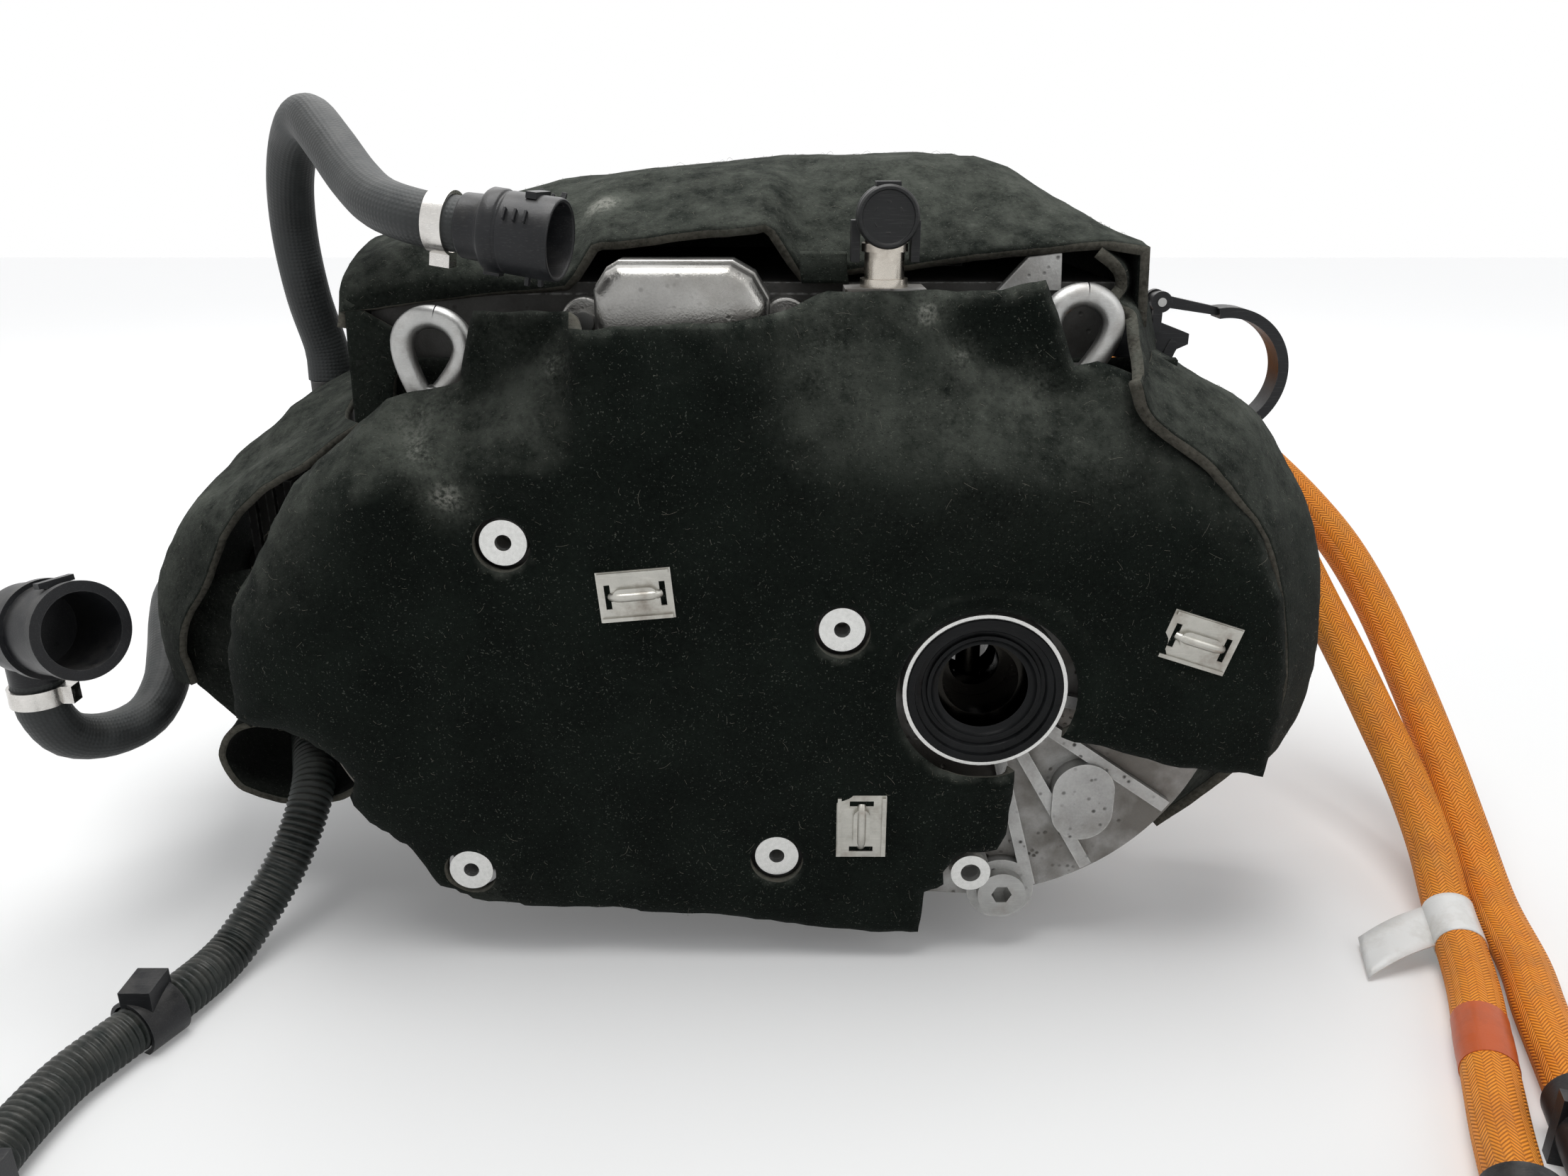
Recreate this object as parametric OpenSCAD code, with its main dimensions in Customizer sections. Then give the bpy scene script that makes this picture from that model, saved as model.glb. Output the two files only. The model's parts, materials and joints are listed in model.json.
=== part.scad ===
// Electric drive unit: motor, two-stage gearbox with differential, inverter, felt covers and leads.
// Frame: output axis along Y, origin at the front seal land, X right, Y away from the gearbox end, Z up.

/* [Layout] */
// distance between the motor axis and the output axis
motor_offset = 240; // [230:1:248]
// height of the surface the unit stands on, below the output axis
stand_depth = 165; // [160:1:180]
// front face of the gearbox casting
cast_face = 12; // [10:1:16]
// plane where the gearbox cover meets the gearbox housing
split_y = 76; // [74:1:78]
// rear face of the gearbox, where the motor bolts on
case_back = 128; // [126:1:134]
// rear face of the motor housing
motor_back = 300; // [280:5:340]

/* [Gears] */
// teeth on the rotor pinion
rotor_teeth = 23; // [20:1:24]
// teeth on the intermediate gear
mid_gear_teeth = 69; // [66:1:70]
// teeth on the intermediate pinion
mid_pinion_teeth = 20; // [19:1:21]
// teeth on the ring gear
ring_teeth = 73; // [71:1:74]
// module of the first stage
module_one = 2.5; // [2.4:0.05:2.5]
// module of the second stage
module_two = 3; // [2.95:0.05:3]
// play between meshing flanks
lash = 0.5; // [0.4:0.05:0.7]

/* [Castings] */
// gearbox wall thickness
wall = 8; // [7:0.5:10]
// gearbox outer radius round the motor axis
case_r_motor = 122; // [120:1:126]
// gearbox outer radius round the intermediate axis
case_r_mid = 100; // [99:1:104]
// gearbox outer radius round the output axis
case_r_out = 134; // [132:1:138]
// width of the bolted flange outside the wall
flange_w = 13; // [12:1:16]
// thickness of each flange
flange_t = 10; // [8:1:12]
// step from the gearbox out to the motor housing radius
motor_step = 8; // [6:1:12]
// air gap between rotor and stator
air_gap = 1; // [0.8:0.1:1.5]

/* [Bosses and holes] */
// outer diameter of the threaded bosses
boss_d = 24; // [22:1:26]
// tapping diameter of the boss threads
thread_d = 8.5; // [8.5:0.1:9]
// depth of the shallowest boss thread
thread_depth = 18; // [15:1:19]
// extra depth from one boss to the next
thread_step = 0.6; // [0.4:0.1:0.8]
// depth of the plain bush
bush_depth = 14; // [10:1:16]
// plain bush bore
bush_d = 11; // [10:0.5:12]
// output collar outer diameter
collar_d = 87; // [85:1:92]
// bolt shank diameter
bolt_d = 8; // [7:0.5:8]

/* [Felt] */
// thickness of the moulded felt
felt_t = 9; // [7:0.5:10]
// clearance of the felt around the bosses
felt_gap = 2; // [1.5:0.5:4]

/* [Leads] */
// coolant hose outer diameter
hose_d = 26; // [24:0.5:27]
// orange cable outer diameter
cable_d = 26; // [24:0.5:27]
// conduit outer diameter
conduit_d = 25; // [23:0.5:26]

/* [Hidden] */
$fn = 48;
fit = 0.05;
run = 0.3;
eps = 0.5;
cast_grey = [0.62, 0.62, 0.6];
steel = [0.5, 0.51, 0.53];
felt_black = [0.1, 0.1, 0.09];
rubber_grey = [0.14, 0.14, 0.15];
plastic_black = [0.06, 0.06, 0.06];
orange = [0.86, 0.42, 0.06];
copper = [0.72, 0.42, 0.2];
magnet_grey = [0.3, 0.31, 0.34];
board_green = [0.05, 0.3, 0.15];
white = [0.9, 0.9, 0.88];

function polar(r, a) = [r * cos(a), r * sin(a)];
function lift3(p, z) = [p[0], p[1], z];
function unit(v) = v / norm(v);
function bearing(v) = atan2(v[1], v[0]);

// gear train
stage_one = module_one * (rotor_teeth + mid_gear_teeth) / 2;
stage_two = module_two * (mid_pinion_teeth + ring_teeth) / 2;
motor_at = [-motor_offset, 0];
mid_x = (pow(stage_two, 2) - pow(stage_one, 2) + pow(motor_offset, 2)) / (2 * motor_offset);
mid_at = [-mid_x, sqrt(pow(stage_two, 2) - pow(mid_x, 2))];
out_at = [0, 0];
ring_y0 = 38;
ring_y1 = 72;
pinion_y0 = 36;
pinion_y1 = 74;
mid_gear_y0 = 84;
mid_gear_y1 = 110;
diff_y = 60;
pressure = 20;
dedendum = 1.25;

// output collar, seals and differential bearings
collar_face = -2;
seal_r = 38.5;
seal_lip_r = 24;
seal_w = 8;
diff_hub_r = 25;
diff_hub_bore = 20.5;
diff_bearing_r = 40;
diff_bearing_w = 16;
diff_front_y = 14;
diff_rear_y = 96;
seat_wall = 7;
collar_back = 142;

// intermediate and rotor bearings
mid_shaft_r = 15;
mid_bearing_r = 31;
mid_bearing_w = 14;
mid_front_y = 16;
mid_rear_y = 112;
rotor_bearing_r = 40;
rotor_bearing_w = 18;
rotor_seat_r = 20;
rotor_front_y = 122;
rotor_rear_y = 296;

// motor
stator_y0 = 158;
stator_y1 = 270;
motor_r = case_r_motor + motor_step;
stator_r = motor_r - 25;
rotor_r = stator_r - 33;
shaft_r = 25;
slots = 36;
slot_w = 6;
slot_depth = 22;
winding_reach = 14;
rear_cover_t = 22;
jacket_r0 = stator_r + 7;
jacket_r1 = motor_r - 11;

// differential gears
side_teeth = 16;
planet_teeth = 10;
side_back = 16;
planet_back = 25.6;
cone_face = 6;
planet_face = 9.6;
side_bore = 14;
cross_r = 7;
diff_cavity_r = 36;
diff_case_r = 46;
diff_half = 22.5;
diff_end = 7;
ring_flange_r = 90;
ring_bore_r = 62;
ring_flange_y1 = 80;

// bosses on the cover, as x and z
threads = [[-247, 83], [-76, 36], [-280, -108], [-110, -99]];
bush_at = [-2, -110];
drain_at = [17, -127];
boss_face = -4;
drain_boss_r = 19;
drain_face = 6;
drain_r = 8;
drain_head_r = 13.5;
drain_hex = 10;
oblong_at = [59, -70];
oblong_w = 34;
oblong_h = 47;
rib_angles = [-12, -35, -60, -75];
rib_w = 7;

// flange bolts
bolt_circle = flange_w / 2;
function spot(c, r, a) = c + polar(r + bolt_circle, a);
lower_angle = -acos((case_r_motor - case_r_out) / motor_offset);
case_spots = [
  spot(motor_at, case_r_motor, 112), spot(motor_at, case_r_motor, 160),
  spot(motor_at, case_r_motor, 205), spot(motor_at, case_r_motor, 245),
  spot(mid_at, case_r_mid, 94),
  spot(out_at, case_r_out, 72), spot(out_at, case_r_out, 38), spot(out_at, case_r_out, 4),
  spot(out_at, case_r_out, -28), spot(out_at, case_r_out, -58),
  (spot(motor_at, case_r_motor, lower_angle) + spot(out_at, case_r_out, lower_angle)) / 2
];
bolt_len = 17;
bolt_head_r = 6.5;
bolt_head_h = 8;

// feet
foot_w = 150;
foot_d = 34;
foot_front = [-110, 86];
motor_foot_x = -320;
motor_foot_y = 262;
foot_top = 100;

// towers on the cover for the lifting eyes and the breather
eye_y = 40;
eye_left = [-285, 174];
eye_right = [45, 185];
eye_ring_r = 17;
eye_rod_r = 5;
eye_shank = 14;
tower_r = 12;
breather_at = [-56, 40];
breather_flange_z = 204;
pipe_r = 10;
pipe_bore = 6;
pipe_len = 26;
cap_r = 15;
cap_z = 238;
cap_y0 = 20;
cap_depth = 18;

// inverter
inv_x0 = -322;
inv_x1 = 66;
inv_y0 = 62;
inv_y1 = 322;
inv_z0 = 158;
inv_z1 = 198;
inv_wall = 6;
lid_t = 6;
dome_x0 = -95;
dome_x1 = 0;
dome_y0 = 158;
dome_y1 = 300;
crest_z = 266;
term_x0 = -200;
term_x1 = -114;
term_y0 = 18;
term_z0 = 160;
term_z1 = 216;
port_r = 12;
lid_tab_w = 18;
lid_bolt_x = [term_x0 - lid_tab_w / 2, term_x1 + lid_tab_w / 2];
lid_bolt_z = 185;
lid_bolt_r = 3;
lid_bolt_head = 5;
lid_bolt_grip = 5;
lid_tab_t = 10;

// oil cooler on the left of the motor
cooler_x0 = -446;
cooler_x1 = -378;
cooler_y0 = 100;
cooler_y1 = 240;
cooler_z0 = -18;
cooler_z1 = 74;
upper_port = [-395, 185];
upper_port_z = 132;
lower_port = [215, 0];
lower_port_x = -482;
port_tube_r = 9;

// felt outlines, as x and z
felt_y0 = -8;
felt_y1 = felt_y0 + felt_t;
front_outline = [
  [-306, 150], [-268, 160], [-258, 194], [-211, 194], [-209, 188], [-125, 192], [-102, 196],
  [-85, 203], [0, 204], [20, 210], [38, 168], [49, 170], [67, 164], [74, 145], [110, 116],
  [131, 92], [149, 52], [157, 9], [157, -16], [152, -49], [64, -30], [50, -30], [14, -54],
  [17, -92], [-27, -124], [-36, -160], [-42, -150], [-102, -139], [-275, -135], [-301, -124],
  [-317, -99], [-350, -50], [-400, -23], [-408, 5], [-403, 38], [-384, 70], [-362, 105]
];
skirt_outer = [
  [-306, 150], [-362, 105], [-384, 70], [-403, 38], [-408, 5], [-400, -23]
];
skirt_inner = [
  [-392, -17], [-399, 6], [-394, 35], [-376, 65], [-355, 98], [-306, 139]
];
skirt_back = 34;
side_r0 = 158;
side_r1 = 208;
side_y1 = 112;
side_from = -24;
side_sweep = 87;
top_front = 54;
top_back = inv_y1 + felt_t + 5;
felt_x0 = inv_x0 - felt_t - 3;
felt_x1 = inv_x1 + felt_t + 5;
top_shape = [
  [felt_x0, 180], [felt_x0, 214], [-234, 252], [dome_x0 - 4, crest_z], [dome_x1 + 2, crest_z], [22, 260],
  [felt_x1, 226], [felt_x1, 180]
];
top_hollow = [
  [felt_x0 + felt_t, 170], [felt_x0 + felt_t, 207], [-231, 243], [dome_x0 - 3, crest_z - felt_t],
  [dome_x1, crest_z - felt_t], [17, 252], [felt_x1 - felt_t - 1, 220], [felt_x1 - felt_t - 1, 170]
];
top_side = [[top_front, 180], [top_front, 210], [150, crest_z], [top_back, crest_z], [top_back, 180]];
top_side_hollow = [
  [top_front - 1, 170], [top_front - 1, 201], [152, crest_z - felt_t], [top_back - felt_t, crest_z - felt_t],
  [top_back - felt_t, 170]
];
panel_x1 = -302;
panel_y0 = top_front - 3.5;
panel_y1 = inv_y0 - 4;
panel_z0 = 141;
panel_z1 = 205;
tail_front = [[56, 46, 152], [85, 53, 222]];
tail_plan = [[felt_x1 + 1, 47], [felt_x1 + 8, 47], [felt_x1 + 20, 108], [felt_x1 + 12, 108]];
tail_z0 = 150;
tail_z1 = 208;
left_outer = [
  [-346, 152], [-400, 128], [-452, 80], [-478, 12], [-464, -38]
];
left_inner = [
  [-454, -38], [-468, 12], [-444, 74], [-396, 118], [-346, 141]
];
left_y0 = 50;
left_y1 = 280;
sleeve_x0 = -466;
sleeve_x1 = -372;
sleeve_z0 = -106;
sleeve_z1 = -38;
sleeve_y0 = 64;
sleeve_y1 = 176;
sleeve_t = 7;

// felt clips
clip_at = [[-181, 57, 5], [107, 31, -18], [-64, -77, 90]];
clip_l = 38;
clip_w = 27;
clip_t = 1.4;
stud_r = 3;
stud_len = 2.2;
clip_rib = 2.4;
clip_slot = [3, 13];

// cable clip
ring_at = [150, 146];
ring_r0 = 32;
ring_r1 = 38;
hoop_y0 = 122;
hoop_y1 = 138;
pivot_at = [110, 187];
pivot_r = 2.5;
knuckle_r = 6;
ear_t = 4;
saddle_end = -62;
strap_start = 100;
arm_z = 152;
arm_top = 178;
arm_tip = [128, 166];

// cable routes
cable_y_front = 226;
cable_y_back = 270;
cable_z = 128;
gland_x = inv_x1 + 34;
hv_box_x0 = inv_x1 - 58;
hv_box_x1 = inv_x1 + 2;
hv_box_y0 = cable_y_front - 30;
hv_box_y1 = cable_y_back + 30;
hv_box_z0 = cable_z - 26;
gland_r = 18;
cable_r = cable_d / 2;
lay_z = -stand_depth + cable_r;
plug_l = 62;
plug_r = 18;
plug_wall = 4;
plug_depth = 26;
front_route = [
  [gland_x, cable_y_front, cable_z], [gland_x + 12, cable_y_front, cable_z], [138, 226, 123], [166, 225, 108],
  [194, 221, 84], [218, 215, 54], [240, 206, 18], [258, 188, -18], [272, 162, -50], [282, 130, -80], [288, 94, -106], [287, 54, -128],
  [280, 14, -146], [271, -20, lay_z + 2], [261, -51, lay_z], [247, -84, lay_z], [233, -118, lay_z],
  [219, -152, lay_z], [206, -188, lay_z]
];
back_route = [
  [gland_x, cable_y_back, cable_z], [gland_x + 12, cable_y_back, cable_z], [140, 269, 124], [172, 265, 109],
  [204, 257, 86], [234, 246, 61], [260, 231, 36], [282, 213, 9], [299, 188, -24], [311, 154, -62], [317, 112, -98], [317, 68, -128],
  [311, 22, -148], [300, -30, lay_z], [287, -66, lay_z], [275, -104, lay_z], [265, -136, lay_z]
];
tag_from = 12;

// hose and conduit routes
hose_r = hose_d / 2;
upper_end = [-256, 10, 235];
upper_dir = unit([50, -10, -7]);
upper_route = [
  lift3(upper_port, upper_port_z), lift3(upper_port, 152), [-399, 178, 184], [-400, 172, 220], [-393, 158, 252],
  [-378, 136, 276], [-360, 110, 284], [-342, 86, 272], [-322, 60, 255], [-302, 34, 244],
  upper_end - 22 * upper_dir, upper_end
];
elbow_at = [-512, 15, 30];
mouth_dir = unit([52, -30, 10]);
lower_end = [-513, 19, -2];
lower_route = [
  [lower_port_x, lower_port[0], lower_port[1]], [-498, lower_port[0], lower_port[1]], [-512, 199, -3],
  [-512, 172, -9], [-504, 146, -17], [-494, 120, -28], [-487, 96, -40], [-488, 72, -50], [-497, 48, -50],
  [-508, 28, -40], lower_end - [0, 0, 18], lower_end
];
conduit_r = conduit_d / 2;
floor_z = -stand_depth + conduit_r;
conduit_start = -378;
conduit_end_x = -457;
conduit_port = [150, -72];
conduit_route = [
  [conduit_start, conduit_port[0], conduit_port[1]], [-394, conduit_port[0], conduit_port[1]],
  [-407, 136, -74], [-406, 110, -77], [-397, 84, -80], [-389, 62, -86], [-388, 44, -98], [-394, 26, -118],
  [-405, 6, -138], [-416, -20, floor_z], [-426, -55, floor_z], [-440, -86, floor_z], [-452, -116, floor_z],
  [conduit_end_x, -150, floor_z], [conduit_end_x, -180, floor_z]
];

// swept tube along a route, with rings square to it
tube_sides = 10;
function along(p, i) = unit(p[min(i + 1, len(p) - 1)] - p[max(i - 1, 0)]);
function across(t, up) = unit(up - (up * t) * t);
function ring_pts(c, t, up, r) = let (n = across(t, up), b = cross(t, n))
  [for (k = [0 : tube_sides - 1]) c + r * (cos(k * 360 / tube_sides) * n + sin(k * 360 / tube_sides) * b)];
module tube(p, r, up) {
  last = (len(p) - 1) * tube_sides;
  pts = [for (i = [0 : len(p) - 1]) each ring_pts(p[i], along(p, i), up, r)];
  sides = [for (i = [0 : len(p) - 2], k = [0 : tube_sides - 1]) let (
      a = i * tube_sides + k,
      b = i * tube_sides + (k + 1) % tube_sides)
    each [[a, b, b + tube_sides], [a, b + tube_sides, a + tube_sides]]];
  ends = [[for (k = [tube_sides - 1 : -1 : 0]) k], [for (k = [0 : tube_sides - 1]) last + k]];
  polyhedron(points = pts, faces = [for (f = concat(sides, ends)) [for (k = [len(f) - 1 : -1 : 0]) f[k]]]);
}

// drawing along Y: children are drawn in x and z
module along_y(y0, y1) {
  translate([0, y1, 0])
    rotate([90, 0, 0])
      linear_extrude(height = y1 - y0)
        children();
}
module disc(c, y0, y1, r) {
  along_y(y0, y1)
    translate(c)
      circle(r);
}
module block(a, b) {
  translate(a)
    cube(b - a);
}
module aim(at, d) {
  translate(at)
    rotate([0, acos(d[2]), atan2(d[1], d[0])])
      children();
}

// gear outline with involute flanks, one tooth on the x axis
function inv(a) = tan(a) * 180 / PI - a;
function half_tooth(n, m, r) = let (rp = m * n / 2, rb = rp * cos(pressure))
  90 / n - lash / (4 * rp) * 180 / PI + inv(pressure) - inv(acos(rb / max(r, rb)));
function flank(n, m) = let (rp = m * n / 2)
  [rp - dedendum * m, rp - 0.45 * m, rp + 0.3 * m, rp + m];
module gear_2d(n, m) {
  radii = flank(n, m);
  polygon([for (i = [0 : n - 1]) each concat(
    [for (r = radii) polar(r, i * 360 / n - half_tooth(n, m, r))],
    [for (k = [3 : -1 : 0]) polar(radii[k], i * 360 / n + half_tooth(n, m, radii[k]))])]);
}
function bevel_tooth(a, root, tip, root_half, tip_half) = [
  polar(root, a - root_half), polar(tip, a - tip_half), polar(tip, a + tip_half), polar(root, a + root_half)];
module bevel_2d(n, root, tip, root_half, tip_half, turn) {
  polygon([for (i = [0 : n - 1]) each bevel_tooth(i * 360 / n + turn, root, tip, root_half, tip_half)]);
}

// outline of the gearbox, grown or shrunk
function band(c1, r1, c2, r2) = let (d = c2 - c1, a = bearing(d), p = acos((r1 - r2) / norm(d)), k = 0.9995)
  [c1 + polar(r1 * k, a + p), c2 + polar(r2 * k, a + p), c2 + polar(r2 * k, a - p), c1 + polar(r1 * k, a - p)];
module case_outline(grow) {
  rm = case_r_motor + grow;
  ri = case_r_mid + grow;
  ro = case_r_out + grow;
  translate(motor_at)
    circle(rm);
  translate(mid_at)
    circle(ri);
  circle(ro);
  polygon(band(motor_at, rm, mid_at, ri));
  polygon(band(mid_at, ri, out_at, ro));
  polygon(band(motor_at, rm, out_at, ro));
}
module case_bolt_holes(y0, y1, r) {
  for (p = case_spots)
    disc(p, y0, y1, r);
}

// front half of the gearbox, with bosses, collar, ribs and towers
module gearbox_cover() {
  inner = cast_face + wall;
  color(cast_grey)
    difference() {
      union() {
        difference() {
          union() {
            along_y(cast_face, split_y)
              case_outline(0);
            along_y(split_y - flange_t, split_y)
              case_outline(flange_w);
            disc(drain_at, drain_face, split_y, drain_boss_r);
            tower(eye_left[0], eye_left[1] - eye_ring_r - eye_shank);
            tower(eye_right[0], eye_right[1] - eye_ring_r - eye_shank);
            tower(breather_at[0], breather_flange_z - wall);
            breather_flange();
          }
          along_y(inner, split_y + eps)
            case_outline(-wall);
        }
        disc(out_at, collar_face, inner, collar_d / 2);
        disc(out_at, cast_face, diff_front_y + diff_bearing_w, diff_bearing_r + seat_wall);
        disc(mid_at, cast_face, mid_front_y + mid_bearing_w, mid_bearing_r + seat_wall);
        for (p = threads)
          disc(p, boss_face, inner, boss_d / 2);
        disc(bush_at, boss_face, inner, boss_d / 2 - 1);
        oblong_boss();
        cover_ribs();
        for (c = clip_at)
          disc([c[0], c[1]], felt_y0 - stud_len, inner, stud_r);
      }
      for (i = [0 : len(threads) - 1])
        disc(threads[i], boss_face - eps, boss_face + thread_depth + (i + 0.5) * thread_step, thread_d / 2);
      disc(bush_at, boss_face - eps, boss_face + bush_depth, bush_d / 2);
      disc(out_at, collar_face - eps, diff_front_y, seal_r);
      disc(out_at, diff_front_y - eps, split_y, diff_bearing_r + fit);
      disc(mid_at, mid_front_y, split_y, mid_bearing_r + fit);
      disc(drain_at, drain_face - eps, split_y - flange_t, drain_r + fit);
      case_bolt_holes(split_y - flange_t + 2, split_y + eps, bolt_d / 2 + fit);
      breather_bore();
      translate([eye_left[0], eye_y, eye_left[1] - eye_ring_r - eye_shank - 12])
        cylinder(h = 14, r = eye_rod_r + fit);
      translate([eye_right[0], eye_y, eye_right[1] - eye_ring_r - eye_shank - 12])
        cylinder(h = 14, r = eye_rod_r + fit);
    }
}
module tower(x, top) {
  translate([x, eye_y, 90])
    cylinder(h = top - 90, r = tower_r);
}
module breather_flange() {
  block([breather_at[0] - 20, breather_at[1] - 13, breather_flange_z - wall],
        [breather_at[0] + 20, breather_at[1] + 13, breather_flange_z]);
}
module breather_bore() {
  translate([breather_at[0], breather_at[1], 90])
    cylinder(h = breather_flange_z, r = pipe_bore);
}
module oblong_boss() {
  r = oblong_w / 2;
  along_y(cast_face - 8, cast_face + wall)
    translate(oblong_at) {
      translate([0, oblong_h / 2 - r])
        circle(r);
      translate([0, r - oblong_h / 2])
        circle(r);
      square([oblong_w, oblong_h - oblong_w], center = true);
    }
}
module cover_ribs() {
  for (a = rib_angles)
    along_y(cast_face - 6, cast_face + wall)
      rotate(a)
        translate([collar_d / 2 - 3, -rib_w / 2])
          square([case_r_out - collar_d / 2 - 2, rib_w]);
}

// rear half of the gearbox, carrying the motor front bearing and the rear output collar
module gearbox_housing() {
  color(cast_grey)
    difference() {
      union() {
        difference() {
          union() {
            along_y(split_y, case_back)
              case_outline(0);
            along_y(split_y, split_y + flange_t)
              case_outline(flange_w);
            disc(motor_at, case_back - flange_t, case_back, motor_r);
            front_foot();
          }
          along_y(split_y - eps, case_back - flange_t)
            case_outline(-wall);
        }
        disc(out_at, diff_rear_y, collar_back, diff_bearing_r + seat_wall);
        disc(mid_at, mid_rear_y, case_back, mid_bearing_r + seat_wall);
        disc(motor_at, case_back - flange_t, rotor_front_y + rotor_bearing_w, rotor_bearing_r + seat_wall);
      }
      disc(out_at, diff_rear_y - eps, diff_rear_y + diff_bearing_w, diff_bearing_r + fit);
      disc(out_at, diff_rear_y, collar_back + eps, seal_r);
      disc(mid_at, mid_rear_y - eps, mid_rear_y + mid_bearing_w, mid_bearing_r + fit);
      disc(motor_at, rotor_front_y, rotor_front_y + rotor_bearing_w + eps, rotor_bearing_r + fit);
      disc(motor_at, case_back - flange_t - eps, rotor_front_y + eps, rotor_seat_r + 14);
      case_bolt_holes(split_y - eps, split_y + flange_t + eps, bolt_d / 2 + fit);
      motor_bolt_holes(case_back - flange_t - eps, case_back + eps);
    }
}
module front_foot() {
  block([foot_front[0], foot_front[1], -stand_depth],
        [foot_front[0] + foot_w, foot_front[1] + foot_d, -foot_top]);
}
motor_bolt_angles = [35, 100, 145, 190, 235, 280];
module motor_bolt_holes(y0, y1) {
  for (a = motor_bolt_angles)
    disc(motor_at + polar(motor_r - 9, a), y0, y1, bolt_d / 2 + fit);
}

// motor housing with water jacket, foot and left-hand ports
module motor_housing() {
  color(cast_grey)
    difference() {
      union() {
        disc(motor_at, case_back, motor_back, motor_r);
        for (a = [20 : 20 : 340])
          along_y(case_back + flange_t, motor_back - flange_t)
            translate(motor_at)
              rotate(a)
                translate([motor_r - 3, -3])
                  square([8, 6]);
        block([motor_foot_x, motor_foot_y, -stand_depth],
              [motor_foot_x + foot_w, motor_foot_y + foot_d, -foot_top]);
        block([cooler_x1, cooler_y0 + 40, cooler_z0 + 8],
              [-motor_offset - motor_r + 20, cooler_y1 - 10, cooler_z1 - 8]);
        translate([conduit_start, conduit_port[0], conduit_port[1]])
          rotate([0, 90, 0])
            cylinder(h = -motor_offset - 0.75 * motor_r - conduit_start, r = conduit_r + 4);
        for (x = [-300, -200])
          block([x, case_back + flange_t, 90], [x + 24, motor_back - flange_t, inv_z0]);
      }
      disc(motor_at, case_back - eps, motor_back + eps, stator_r + fit);
      translate([motor_at[0], (case_back + motor_back) / 2, 0])
        rotate([90, 0, 0])
          rotate_extrude()
            translate([jacket_r0, -54])
              square([jacket_r1 - jacket_r0, 108]);
      for (y = [cooler_y0 + 60, cooler_y1 - 25])
        translate([cooler_x1 - eps, y, 28])
          rotate([0, 90, 0])
            cylinder(h = 24, r = 6);
      motor_bolt_holes(case_back - eps, case_back + 16);
      motor_bolt_holes(motor_back - 16, motor_back + eps);
    }
}

// end cover with the rear rotor bearing
module rear_cover() {
  top = motor_back + rear_cover_t;
  color(cast_grey)
    difference() {
      union() {
        disc(motor_at, motor_back, motor_back + flange_t, motor_r);
        disc(motor_at, motor_back, top, rotor_bearing_r + 24);
      }
      disc(motor_at, rotor_rear_y, rotor_rear_y + rotor_bearing_w, rotor_bearing_r + fit);
      motor_bolt_holes(motor_back - eps, motor_back + flange_t + eps);
    }
}

// stator stack with open slots
module stator_core() {
  bore = rotor_r + air_gap;
  color(steel)
    along_y(stator_y0, stator_y1)
      translate(motor_at)
        difference() {
          circle(stator_r);
          circle(bore);
          for (i = [0 : slots - 1])
            rotate(i * 360 / slots)
              translate([bore - 2, -slot_w / 2])
                square([slot_depth + 2, slot_w]);
        }
}
module stator_windings() {
  bore = rotor_r + air_gap;
  color(copper)
    union() {
      along_y(stator_y0 - winding_reach, stator_y1 + winding_reach)
        translate(motor_at)
          for (i = [0 : slots - 1])
            rotate(i * 360 / slots)
              translate([bore + 2, run - slot_w / 2])
                square([slot_depth - 2 - run, slot_w - 2 * run]);
      for (y = [stator_y0 - winding_reach, stator_y1 + run])
        along_y(y, y + winding_reach - run)
          translate(motor_at)
            difference() {
              circle(bore + slot_depth - 1);
              circle(bore + 3);
            }
    }
}

// rotor stack with magnet pockets
magnet_poles = 8;
magnet_w = rotor_r / 3;
magnet_t = 6;
magnet_r = rotor_r - 14;
module magnet_2d(grow) {
  for (i = [0 : magnet_poles - 1], s = [-1, 1])
    rotate(i * 360 / magnet_poles + s * 11)
      translate([magnet_r, 0])
        rotate(s * 18)
          square([magnet_t + 2 * grow, magnet_w - 6 + 2 * grow], center = true);
}
module rotor_core() {
  color(steel)
    along_y(stator_y0, stator_y1)
      translate(motor_at)
        difference() {
          circle(rotor_r);
          circle(shaft_r + fit);
          magnet_2d(fit);
        }
}
module rotor_magnets() {
  color(magnet_grey)
    along_y(stator_y0 + 1, stator_y1 - 1)
      translate(motor_at)
        magnet_2d(0);
}

// rotor shaft with its pinion
mid_turn = bearing(motor_at - mid_at);
ring_turn = bearing(mid_at - out_at);
module rotor_shaft() {
  color(steel)
    union() {
      disc(motor_at, mid_gear_y1, rotor_front_y + rotor_bearing_w, rotor_seat_r);
      disc(motor_at, rotor_front_y + rotor_bearing_w, rotor_rear_y, shaft_r);
      disc(motor_at, rotor_rear_y, rotor_rear_y + rotor_bearing_w - 1, rotor_seat_r);
      along_y(mid_gear_y0 - 2, mid_gear_y1 + 2)
        translate(motor_at)
          rotate(mid_turn + 180 + 180 / rotor_teeth)
            gear_2d(rotor_teeth, module_one);
    }
}

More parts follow.
